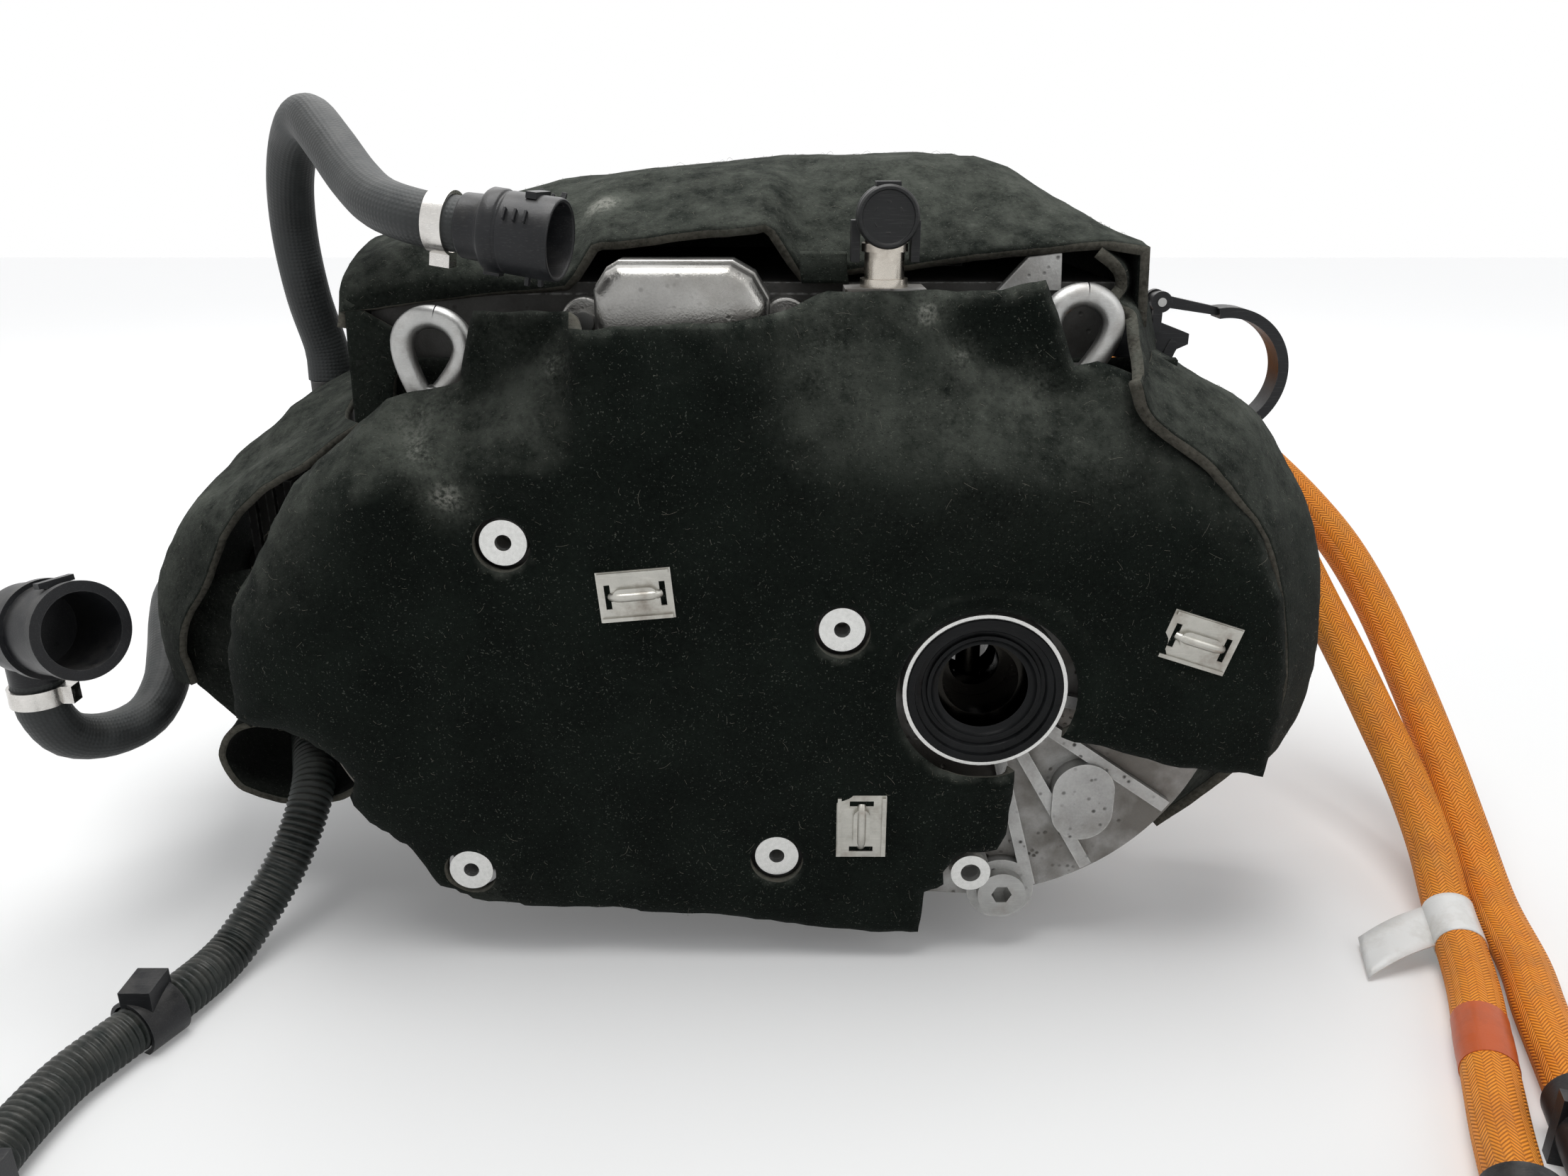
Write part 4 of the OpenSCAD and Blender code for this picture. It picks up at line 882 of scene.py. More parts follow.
    def settled_dust(self) -> None:
        """Dust that lies where a face looks up, in uneven patches; on the felt it also serves as painted top light."""
        graph = self.start("Mask", Scale=1.0, Slope=0.95)
        normal = graph.add("ShaderNodeNewGeometry").outputs["Normal"]
        upward = graph.remap(graph.parts(normal)[2], 0.10, self.given["Slope"])
        patches = graph.remap(self.noise(70.0, 4.0, 0.65), 0.35, 0.75)
        self.out(Mask=graph.times(upward, patches))

    def fine_scratches(self) -> None:
        """Handling scratches in two slanting directions."""
        graph = self.start("Mask", Scale=1.0)
        both: list[Socket] = []
        for turn in ((0.4, 0.3, 0.7), (-0.6, 0.9, -0.5)):
            mapped = graph.add("ShaderNodeMapping")
            graph.feed(mapped.inputs["Vector"], self.given["Place"])
            mapped.inputs["Rotation"].default_value = turn
            mapped.inputs["Scale"].default_value = (1.0, 26.0, 26.0)
            lines = graph.noise(mapped.outputs[0], graph.times(self.given["Scale"], 40.0))
            both.append(graph.remap(lines, 0.62, 0.68))
        self.out(Mask=graph.math("MAXIMUM", *both))

    def stains(self) -> None:
        """Broad grime and oil stains with soft edges."""
        graph = self.start("Mask", Scale=1.0)
        self.out(Mask=graph.remap(self.noise(22.0, 5.0, 0.62), 0.48, 0.72))


@dataclass(frozen=True)
class Finish:
    """A surface finish. Each kind paints its own material."""

    name: str
    colour: Colour
    roughness: float = 0.5

    def material(self) -> bpy.types.Material:
        """The finish's material, made on first use.

        Returns:
            The material.
        """
        found = bpy.data.materials.get(self.name)
        if found:
            return found
        made = bpy.data.materials.new(self.name)
        made.use_nodes = True
        made.diffuse_color = (*self.colour, 1.0)
        self.paint(Graph(made.node_tree))
        return made

    def paint(self, graph: Graph) -> None:
        """Joins the finish's nodes in a material's tree."""
        raise NotImplementedError


@dataclass(frozen=True)
class FeltFinish(Finish):
    """Needle-punched felt with worn, dusty patches, and upward faces painted paler: partly dust, partly painted top
    light.
    """

    light: Colour = (0.0085, 0.0125, 0.0095)
    # worn, the pale rubbed colour, also paints the dust and the painted top light on upward faces.
    worn: Colour = (0.118, 0.127, 0.108)
    scar: Colour = (0.36, 0.36, 0.32)
    sheen: float = 0.02
    dust_and_top_light: float = 0.60
    pinhole: Colour = (0.006, 0.006, 0.006)
    specular: float = 0.08
    sheen_roughness: float = 0.55
    nap_depth: float = 0.0011

    def paint(self, graph: Graph) -> None:
        """Joins fibres, pinholes, wear, and dust that also paints upward faces paler as top light.

        Args:
            graph: the material's tree.
        """
        place = graph.place()
        nap = graph.effect(Effect.FELT_NAP, Place=place, Scale=1.0)
        dust = graph.effect(Effect.UPWARD_DUST_AND_LIGHT, Place=place, Scale=1.0, Slope=0.62)
        wear = graph.add("ShaderNodeAttribute", attribute_name="wear").outputs["Fac"]
        base = graph.blend(graph.remap(nap["Tone"], 0.36, 0.66), self.colour, self.light)
        rubbed = graph.times(wear, graph.remap(nap["Tone"], 0.34, 0.58))
        base = graph.blend(rubbed, base, self.worn)
        # Upward faces tinted pale: settled dust and painted top light, as if lit from above.
        base = graph.tint(base, self.worn, dust["Mask"], self.dust_and_top_light)
        bare = graph.remap(nap["Tone"], 0.47, 0.60)
        base = graph.tint(base, self.scar, graph.remap(wear, 0.55, 0.95), bare)
        base = graph.tint(base, self.worn, nap["Fibres"], 0.55)
        base = graph.tint(base, self.pinhole, nap["Pinholes"], 0.55)
        graph.shade({
            "Base Color": base,
            "Roughness": self.roughness,
            "Specular IOR Level": self.specular,
            "Sheen Weight": self.sheen,
            "Sheen Roughness": self.sheen_roughness,
            "Normal": graph.bump(nap["Height"], self.nap_depth, 0.75),
        })


@dataclass(frozen=True)
class CastFinish(Finish):
    """Die-cast aluminium with pits and grime, machined where it stands proud of the casting."""

    metallic: float = 0.8
    pitting: float = 0.8
    grime: float = 0.45
    grime_colour: Colour = (0.10, 0.085, 0.065)
    machined_before: float | None = None
    pocket_y: float = 0.012
    silt_and_shade_colour: Colour = (0.115, 0.105, 0.092)
    pit_colour: Colour = (0.05, 0.048, 0.045)
    edge_colour: Colour = (0.72, 0.72, 0.70)
    turned_colours: tuple[Colour, Colour] = ((0.62, 0.62, 0.60), (0.82, 0.82, 0.80))
    turned_roughness: float = 0.27
    grain_depth: float = 0.0006

    def paint(self, graph: Graph) -> None:
        """Joins grain, pits, stains, worn edges, machined faces, and silt with painted shade in the pockets.

        Args:
            graph: the material's tree.
        """
        place = graph.place()
        grain = graph.effect(Effect.CAST_GRAIN, Place=place, Scale=1.0, Pitting=self.pitting)
        stains = graph.effect(Effect.STAINS, Place=place, Scale=1.0)
        wear = graph.effect(Effect.EDGE_WEAR, Place=place, Radius=0.0016)
        dull = shade(self.colour, 0.72)
        base = graph.blend(graph.remap(grain["Tone"], 0.35, 0.65), dull, self.colour)
        base = graph.tint(base, self.grime_colour, stains["Mask"], self.grime)
        base = graph.blend(grain["Pits"], base, self.pit_colour)
        base = graph.tint(base, self.edge_colour, wear["Mask"], 0.6)
        rough = graph.remap(grain["Tone"], 0.3, 0.7, self.roughness + 0.12, self.roughness - 0.06)
        depth: Socket = grain["Height"]
        if self.machined_before is not None:
            y = graph.parts(place)[1]
            edge = self.machined_before
            turned = graph.remap(y, edge - 0.0002, edge + 0.0002, 1.0, 0.0)
            # The pockets below the rib faces are darkened: partly silt, partly painted shade from the ribs.
            sunk = graph.remap(y, self.pocket_y - 0.003, self.pocket_y - 0.0005)
            patchy = graph.remap(graph.noise(place, 38.0, 4.0), 0.34, 0.58, 0.25, 0.85)
            base = graph.tint(base, self.silt_and_shade_colour, sunk, patchy)
            rings = graph.noise(place, 620.0, 1.0)
            bright = graph.blend(rings, *self.turned_colours)
            base = graph.blend(turned, base, bright)
            rough = graph.weighed(turned, graph.math("SUBTRACT", self.turned_roughness, rough), rough)
            depth = graph.times(depth, graph.math("SUBTRACT", 1.0, turned))
        graph.shade({
            "Base Color": base,
            "Roughness": rough,
            "Metallic": self.metallic,
            "Normal": graph.bump(depth, self.grain_depth, 0.7),
        })


@dataclass(frozen=True)
class MetalFinish(Finish):
    """Sheet, forged or turned metal with scratches and a little grime."""

    grime: float = 0.3
    grime_colour: Colour = (0.14, 0.10, 0.07)
    grain_depth: float = 0.00015

    def paint(self, graph: Graph) -> None:
        """Joins scratches, stains and a faint grain.

        Args:
            graph: the material's tree.
        """
        place = graph.place()
        grain = graph.effect(Effect.CAST_GRAIN, Place=place, Scale=1.8, Pitting=0.25)
        stains = graph.effect(Effect.STAINS, Place=place, Scale=3.2)
        marks = graph.effect(Effect.FINE_SCRATCHES, Place=place, Scale=2.0)
        dull = shade(self.colour, 0.78)
        bright = shade(self.colour, 1.18)
        base = graph.blend(graph.remap(grain["Tone"], 0.35, 0.65), dull, self.colour)
        base = graph.tint(base, bright, marks["Mask"], 0.35)
        base = graph.tint(base, self.grime_colour, stains["Mask"], self.grime)
        low, high = self.roughness - 0.08, self.roughness + 0.14
        graph.shade({
            "Base Color": base,
            "Roughness": graph.remap(stains["Mask"], 0.0, 1.0, low, high),
            "Metallic": 1.0,
            "Normal": graph.bump(grain["Height"], self.grain_depth, 0.6),
        })


@dataclass(frozen=True)
class PlasticFinish(Finish):
    """Moulded plastic or rubber, scuffed along its edges and dusty on top."""

    scuff: Colour = (0.16, 0.16, 0.155)
    scuffing: float = 0.35
    dust: float = 0.16
    dust_colour: Colour = (0.32, 0.30, 0.27)
    specular: float = 0.28
    grain_depth: float = 0.00018

    def paint(self, graph: Graph) -> None:
        """Joins mould grain, scuffs and dust.

        Args:
            graph: the material's tree.
        """
        place = graph.place()
        grain = graph.effect(Effect.MOULD_GRAIN, Place=place, Scale=1.0)
        wear = graph.effect(Effect.EDGE_WEAR, Place=place, Radius=0.0011)
        dust = graph.effect(Effect.UPWARD_DUST_AND_LIGHT, Place=place, Scale=1.4)
        marks = graph.effect(Effect.FINE_SCRATCHES, Place=place, Scale=1.6)
        pale = shade(self.colour, 1.6, 0.004)
        base = graph.blend(graph.remap(grain["Tone"], 0.35, 0.7), self.colour, pale)
        base = graph.tint(base, self.scuff, wear["Mask"], self.scuffing)
        base = graph.tint(base, self.scuff, marks["Mask"], self.scuffing * 0.3)
        base = graph.tint(base, self.dust_colour, dust["Mask"], self.dust)
        low, high = self.roughness - 0.08, self.roughness + 0.14
        graph.shade({
            "Base Color": base,
            "Roughness": graph.remap(grain["Tone"], 0.3, 0.7, low, high),
            "Specular IOR Level": self.specular,
            "Normal": graph.bump(grain["Height"], self.grain_depth, 0.5),
        })


@dataclass(frozen=True)
class HoseFinish(Finish):
    """Rubber hose with the weave of its wrapping pressed into it."""

    ribs_round: float = 34.0
    ribs_along: float = 420.0
    dust_colour: Colour = (0.24, 0.235, 0.22)
    specular: float = 0.35

    def paint(self, graph: Graph) -> None:
        """Joins the pressed weave, bloom and dust.

        Args:
            graph: the material's tree.
        """
        place = graph.place()
        grain = graph.effect(Effect.MOULD_GRAIN, Place=place, Scale=0.8)
        dust = graph.effect(Effect.UPWARD_DUST_AND_LIGHT, Place=place, Scale=1.0)
        u, v = graph.chart()
        across = graph.math("PINGPONG", graph.times(u, self.ribs_round), 0.5)
        length = graph.math("PINGPONG", graph.times(v, self.ribs_along), 0.5)
        weave = graph.times(graph.times(across, length), 4.0)
        bloom = shade(self.colour, 2.1, 0.006)
        base = graph.blend(graph.remap(grain["Tone"], 0.35, 0.7), self.colour, bloom)
        base = graph.tint(base, bloom, weave, 0.22)
        base = graph.tint(base, self.dust_colour, dust["Mask"], 0.20)
        low, high = self.roughness - 0.10, self.roughness + 0.10
        height = graph.weighed(grain["Height"], 0.5, weave)
        graph.shade({
            "Base Color": base,
            "Roughness": graph.remap(grain["Tone"], 0.3, 0.7, low, high),
            "Specular IOR Level": self.specular,
            "Normal": graph.bump(height, 0.0004, 0.55),
        })


@dataclass(frozen=True)
class BraidFinish(Finish):
    """Braided sleeve: slanting strands whose slant changes from one column to the next."""

    # gap is the darker orange painted as shade between and beside the strands.
    gap: Colour = (0.20, 0.045, 0.004)
    dirt: Colour = (0.20, 0.10, 0.04)
    columns: float = 20.0
    strands: float = 430.0
    slant: float = 1.75

    def paint(self, graph: Graph) -> None:
        """Joins the strands, painted shade in their gaps and handling dirt.

        Args:
            graph: the material's tree.
        """
        place = graph.place()
        stains = graph.effect(Effect.STAINS, Place=place, Scale=2.4)
        grain = graph.effect(Effect.MOULD_GRAIN, Place=place, Scale=1.2)
        u, v = graph.chart()
        column = graph.times(u, self.columns)
        zigzag = graph.times(graph.math("PINGPONG", column, 1.0), self.slant)
        strand = graph.math("PINGPONG", graph.weighed(v, self.strands, zigzag), 0.5)
        strand = graph.times(strand, 2.0)
        crown = graph.remap(graph.math("PINGPONG", column, 0.5), 0.0, 0.16, 0.45, 1.0)
        profile = graph.times(graph.remap(strand, 0.1, 0.75), crown)
        pale = shade(self.colour, 1.22, 0.01)
        base = graph.blend(graph.remap(grain["Tone"], 0.3, 0.7), self.colour, pale)
        # The low parts of the strand profile, gaps and column edges, are darkened: painted shade.
        base = graph.blend(graph.remap(profile, 0.0, 0.7, 0.72, 0.0), base, self.gap)
        base = graph.tint(base, self.dirt, stains["Mask"], 0.28)
        low, high = self.roughness - 0.14, self.roughness + 0.14
        graph.shade({
            "Base Color": base,
            "Roughness": graph.remap(profile, 0.0, 1.0, high, low),
            "Normal": graph.bump(profile, 0.0007, 0.8),
        })


@dataclass(frozen=True)
class PaperFinish(Finish):
    """Wrapped paper or film, a little soiled and creased."""

    soil: Colour = (0.42, 0.38, 0.32)
    gloss: float = 0.0

    def paint(self, graph: Graph) -> None:
        """Joins soiling and creases.

        Args:
            graph: the material's tree.
        """
        place = graph.place()
        stains = graph.effect(Effect.STAINS, Place=place, Scale=3.0)
        grain = graph.effect(Effect.MOULD_GRAIN, Place=place, Scale=0.5)
        base = graph.tint(self.colour, self.soil, stains["Mask"], 0.4)
        low, high = self.roughness - 0.05, self.roughness + 0.12
        graph.shade({
            "Base Color": base,
            "Roughness": graph.remap(grain["Tone"], 0.3, 0.7, low, high),
            "Coat Weight": self.gloss,
            "Normal": graph.bump(grain["Height"], 0.0004, 0.4),
        })


@dataclass(frozen=True)
class FloorFinish(Finish):
    """A pale painted surface that the camera sees a little brighter than it lights the unit."""

    glow: Spot = (0.12, 0.62)
    reach: Spot = (0.35, 2.2)

    def paint(self, graph: Graph) -> None:
        """Joins a slow, faint change of tone and the glow, stronger far off, that only direct looks see.

        Args:
            graph: the material's tree.
        """
        place = graph.place()
        slow = graph.noise(place, 2.2, 3.0)
        span = graph.add("ShaderNodeVectorMath", operation="LENGTH")
        graph.feed(span.inputs[0], place)
        glow = graph.remap(span.outputs["Value"], *self.reach, *self.glow)
        graph.shade({
            "Base Color": graph.blend(slow, shade(self.colour, 0.96), self.colour),
            "Roughness": self.roughness,
            "Emission Color": (1.0, 1.0, 1.0, 1.0),
            "Emission Strength": graph.times(graph.direct(), glow),
        })


class Palette:
    """The finishes that the drive unit is dressed in."""

    FELT = FeltFinish("black_needle_felt", (0.0030, 0.0048, 0.0035), 0.95)
    # dark_felt is the same felt painted darker and with little pale top: painted shade for the funnel inside the left
    # cover, the sheets behind the front cover's top edge and the wiring sleeve.
    FELT_DARK = FeltFinish(
        "dark_felt", (0.0030, 0.0045, 0.0034), 0.95, light=(0.007, 0.009, 0.0075), dust_and_top_light=0.1)
    FELT_EDGE = FeltFinish("cut_felt_edge", (0.045, 0.042, 0.034), 0.95, light=(0.15, 0.14, 0.115))
    LINT = PaperFinish("pale_lint", (0.17, 0.16, 0.13), 0.8)
    CAST = CastFinish(
        "cast_aluminium", (0.47, 0.47, 0.46), 0.50, pitting=1.0, grime=0.6, machined_before=0.0)
    CASE = CastFinish("case_aluminium", (0.50, 0.50, 0.49), 0.52)
    # Near-black aluminium with heavy dark grime is painted shade: the inverter housing, its lid and the oil cooler sit
    # in the felt covers' shade.
    SHADED = CastFinish(
        "shade_darkened_aluminium", (0.085, 0.083, 0.078), 0.62, metallic=0.35, grime=0.8,
        grime_colour=(0.02, 0.018, 0.015))
    # Near-black steel for the differential parts seen down the output bore: partly an oil film, partly painted shade
    # for the dark bore.
    OILED_AND_SHADED = MetalFinish(
        "oiled_and_shaded_steel", (0.018, 0.017, 0.015), 0.24, grime=0.7, grime_colour=(0.012, 0.010, 0.008))
    LID = CastFinish("lid_aluminium", (0.38, 0.375, 0.36), 0.28, metallic=0.95, pitting=0.3, grime=0.45)
    FORGED = MetalFinish("forged_steel", (0.46, 0.46, 0.45), 0.46, grime=0.25, grain_depth=0.0004)
    SPRING = MetalFinish("clip_steel", (0.50, 0.49, 0.45), 0.42, grime=0.5)
    STAINLESS = MetalFinish("clamp_steel", (0.72, 0.70, 0.67), 0.27, grime=0.22)
    BOLT = MetalFinish("bolt_steel", (0.42, 0.42, 0.41), 0.40)
    PIPE = MetalFinish("breather_tube", (0.58, 0.54, 0.48), 0.30, grime=0.4)
    GEAR = MetalFinish("gear_steel", (0.47, 0.47, 0.48), 0.26, grime=0.15)
    BEARING = MetalFinish("bearing_steel", (0.66, 0.66, 0.67), 0.2, grime=0.1)
    LAMINATE = MetalFinish("core_laminations", (0.32, 0.32, 0.34), 0.45, grime=0.1)
    COPPER = MetalFinish("copper_winding", (0.72, 0.33, 0.16), 0.35, grime=0.2)
    MAGNET = MetalFinish("magnet_plating", (0.24, 0.24, 0.26), 0.38, grime=0.1)
    PLASTIC = PlasticFinish("black_plastic", (0.010, 0.0105, 0.012), 0.34)
    CONDUIT = PlasticFinish("conduit_plastic", (0.009, 0.0125, 0.011), 0.38, dust=0.3)
    CAP = PlasticFinish("cap_rubber", (0.008, 0.0085, 0.009), 0.42, dust=0.12)
    SEAL = PlasticFinish(
        "seal_rubber", (0.006, 0.0065, 0.007), 0.30, scuffing=0.10, dust=0.0, specular=0.12)
    BOARD = PlasticFinish("circuit_board", (0.012, 0.07, 0.035), 0.45, dust=0.0)
    MODULE = PlasticFinish("power_module_case", (0.03, 0.03, 0.033), 0.5, dust=0.0)
    HOSE = HoseFinish("coolant_hose", (0.022, 0.024, 0.024), 0.56)
    BRAID = BraidFinish("orange_braid", (0.93, 0.285, 0.012), 0.66)
    TAG = PaperFinish("bare_tag", (0.78, 0.78, 0.76), 0.45, gloss=0.2)
    TAPE = PaperFinish(
        "orange_red_tape", (0.50, 0.085, 0.012), 0.42, soil=(0.24, 0.05, 0.015), gloss=0.08)
    FLOOR = FloorFinish("pale_floor", (0.82, 0.82, 0.81), 0.7)


@dataclass
class Studio:
    """Camera, floor, lamps and surroundings."""

    photo_width: int = 2212
    focal_pixels: float = 1671.0
    sensor: float = 36.0
    eye: Point = (-0.106, -0.570, 0.265)
    pitch: float = 20.0
    floor_half: float = 5.0
    sky: Colour = (0.93, 0.95, 1.0)
    sky_strength: float = 0.30
    backdrop: float = 1.0
    aim: Point = (-0.1, 0.1, 0.0)
    lamps: ClassVar[list[tuple[str, Point, float, float]]] = [
        ("key_lamp", (-0.25, 0.05, 1.7), 1.3, 27.0),
        ("side_lamp", (1.6, -0.7, 1.3), 1.2, 5.0),
        ("back_lamp", (-0.5, 1.6, 1.6), 1.6, 9.0),
    ]

    def build(self) -> None:
        """Makes the whole studio."""
        self.camera()
        self.floor()
        self.world()
        for lamp in self.lamps:
            self.lamp(*lamp)
        bpy.context.scene.view_settings.view_transform = "Standard"

    def camera(self) -> None:
        """Stands the camera where the photograph was taken from."""
        data = bpy.data.cameras.new("photo_camera")
        data.sensor_fit = "HORIZONTAL"
        data.sensor_width = self.sensor
        data.lens = self.sensor * self.focal_pixels / self.photo_width
        data.clip_start = 0.01
        made = linked("photo_camera", data)
        made.location = self.eye
        made.rotation_euler = (math.radians(90 - self.pitch), 0, 0)
        bpy.context.scene.camera = made

    def floor(self) -> None:
        """Lays the pale floor that the unit stands on."""
        half = self.floor_half
        mesh = bpy.data.meshes.new("floor")
        corners = [(-half, -half), (half, -half), (half, half), (-half, half)]
        mesh.from_pydata([(x, y, FLOOR_Z) for x, y in corners], [], [(0, 1, 2, 3)])
        mesh.materials.append(Palette.FLOOR.material())
        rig.stage(linked("floor", mesh))

    def world(self) -> None:
        """Lights evenly from all round, and shows a pale backdrop."""
        world = bpy.data.worlds.new("studio_world")
        world.use_nodes = True
        bpy.context.scene.world = world
        graph = Graph(world.node_tree)
        lit = world.node_tree.nodes["Background"]
        lit.inputs["Color"].default_value = (*self.sky, 1.0)
        lit.inputs["Strength"].default_value = self.sky_strength
        seen = graph.add("ShaderNodeBackground")
        seen.inputs["Color"].default_value = (1.0, 1.0, 1.0, 1.0)
        seen.inputs["Strength"].default_value = self.backdrop
        mixed = graph.add("ShaderNodeMixShader")
        graph.feed(mixed.inputs[0], graph.direct())
        graph.feed(mixed.inputs[1], lit.outputs[0])
        graph.feed(mixed.inputs[2], seen.outputs[0])
        graph.feed(world.node_tree.nodes["World Output"].inputs["Surface"], mixed.outputs[0])

    def lamp(self, name: str, place: Point, size: float, power: float) -> None:
        """Hangs one large soft lamp that points at the unit.

        Args:
            name: the lamp's name.
            place: where it hangs.
            size: its side, in metres.
            power: its watts.
        """
        data = bpy.data.lights.new(name, "AREA")
        data.size = size
        data.energy = power
        made = linked(name, data)
        made.location = place
        heading = Vector(self.aim) - Vector(place)
        made.rotation_euler = heading.to_track_quat("-Z", "Y").to_euler()


class Stiffness(Enum):
    """How stiff a lead is."""

    MEDIUM = "medium"
    STIFF = "stiff"


@dataclass
class Lead:
    """One cable, hose or conduit along its route."""

    name: str
    node: str
    route: Sequence[Point]
    diameter: float
    finish: Finish
    stiffness: Stiffness
    sides: int = 32
    step: float = 0.006
    line: list[Vector] = field(default_factory=list)

    def radius(self, travelled: float) -> float:
        """The outer radius at a distance along the lead."""
        return self.diameter / 2

    def build(self) -> Piece:
        """Sweeps the lead along its route in place of its plain solid.

        Returns:
            The lead.
        """
        self.line = smooth_path(self.route, self.step)
        skin = Skin()
        skin.tube(self.line, self.radius, self.sides)
        return skin.piece(self.name, self.finish, sharp=60.0, node=self.node)

    def declare(self, made: Piece, pieces: Sequence[Piece | str]) -> None:
        """States the lead's real length and what is on it.

        Args:
            made: the lead.
            pieces: what moves with it.
        """
        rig.cord(
            made,
            exit=self.route[0],
            length=path_length(self.line),
            diameter=self.diameter,
            far_end="connector",
            stiffness=self.stiffness.value,
            lay="loose",
            path=self.line,
            with_pieces=list(pieces),
        )


@dataclass
class Conduit(Lead):
    """Corrugated conduit: a lead whose radius rises and falls."""

    pitch: float = 0.0036
    groove: float = 0.0016
    step: float = 0.0006

    def radius(self, travelled: float) -> float:
        """Rounded ribs with narrow grooves between them."""
        wave = 0.5 - 0.5 * math.cos(2 * math.pi * travelled / self.pitch)
        return self.diameter / 2 - self.groove * (1.0 - wave ** 0.55)


@dataclass
class Leads:
    """All the leads, with their routes."""

    front_cable: Lead = field(default_factory=lambda: Lead(
        "front_cable_braid", "hv_cable_front",
        metres(
            (100, 226, 128), (112, 226, 128), (138, 226, 123), (166, 225, 108), (194, 221, 84),
            (218, 215, 54), (240, 206, 18), (258, 188, -18), (272, 162, -50), (282, 130, -80),
            (288, 94, -106), (287, 54, -128), (280, 14, -146), (271, -20, -150), (261, -51, -152),
            (247, -84, -152), (233, -118, -152), (219, -152, -152), (206, -188, -152)),
        0.026, Palette.BRAID, Stiffness.STIFF))
    back_cable: Lead = field(default_factory=lambda: Lead(
        "back_cable_braid", "hv_cable_back",
        metres(
            (100, 270, 128), (112, 270, 128), (140, 269, 124), (172, 265, 109), (204, 257, 86),
            (234, 246, 61), (260, 231, 36), (282, 213, 9), (299, 188, -24), (311, 154, -62),
            (317, 112, -98), (317, 68, -128), (311, 22, -148), (300, -30, -152), (287, -66, -152),
            (275, -104, -152), (265, -136, -152)),
        0.026, Palette.BRAID, Stiffness.STIFF))
    upper_hose: Lead = field(default_factory=lambda: Lead(
        "upper_hose_rubber", "upper_hose",
        metres(
            (-395, 185, 132), (-395, 185, 152), (-399, 178, 184), (-400, 172, 220), (-393, 158, 252),
            (-378, 136, 276), (-360, 110, 284), (-342, 86, 272), (-322, 60, 255), (-302, 34, 244),
            (-277.4, 14.3, 238), (-256, 10, 235)),
        0.026, Palette.HOSE, Stiffness.STIFF))
    lower_hose: Lead = field(default_factory=lambda: Lead(
        "lower_hose_rubber", "lower_hose",
        metres(
            (-482, 215, 0), (-498, 215, 0), (-512, 199, -3), (-512, 172, -9), (-504, 146, -17),
            (-494, 120, -28), (-487, 96, -40), (-488, 72, -50), (-497, 48, -50), (-508, 28, -40),
            (-513, 19, -20), (-513, 19, -2)),
        0.026, Palette.HOSE, Stiffness.STIFF))
    conduit: Conduit = field(default_factory=lambda: Conduit(
        "wiring_conduit", "conduit",
        metres(
            (-378, 150, -72), (-394, 150, -72), (-407, 136, -74), (-406, 110, -77), (-397, 84, -80),
            (-389, 62, -86), (-388, 44, -98), (-394, 26, -118), (-405, 6, -138), (-416, -20, -152.5),
            (-426, -55, -152.5), (-440, -86, -152.5), (-452, -116, -152.5), (-457, -150, -152.5),
            (-457, -180, -152.5)),
        0.025, Palette.CONDUIT, Stiffness.MEDIUM, sides=28))

    def build(self) -> None:
        """Makes every lead with what is on it."""
        nodes = frame["nodes"]
        front = self.front_cable.build()
        on_front = CableTrim(self.front_cable.line).build()
        self.front_cable.declare(front, [nodes["hv_connector"], *on_front])
        back = self.back_cable.build()
        self.back_cable.declare(back, [nodes["hv_connector"]])
        upper = self.upper_hose.build()
        connector = UpperConnector().build()
        self.upper_hose.declare(upper, [nodes["upper_clamp"], connector, nodes["upper_latch"]])
        lower = self.lower_hose.build()
        on_lower = [nodes["lower_clamp"], nodes["lower_connector"], nodes["lower_latch"]]
        self.lower_hose.declare(lower, on_lower)
        conduit = self.conduit.build()
        self.conduit.declare(conduit, [nodes["conduit_clip"], nodes["lv_connector"]])


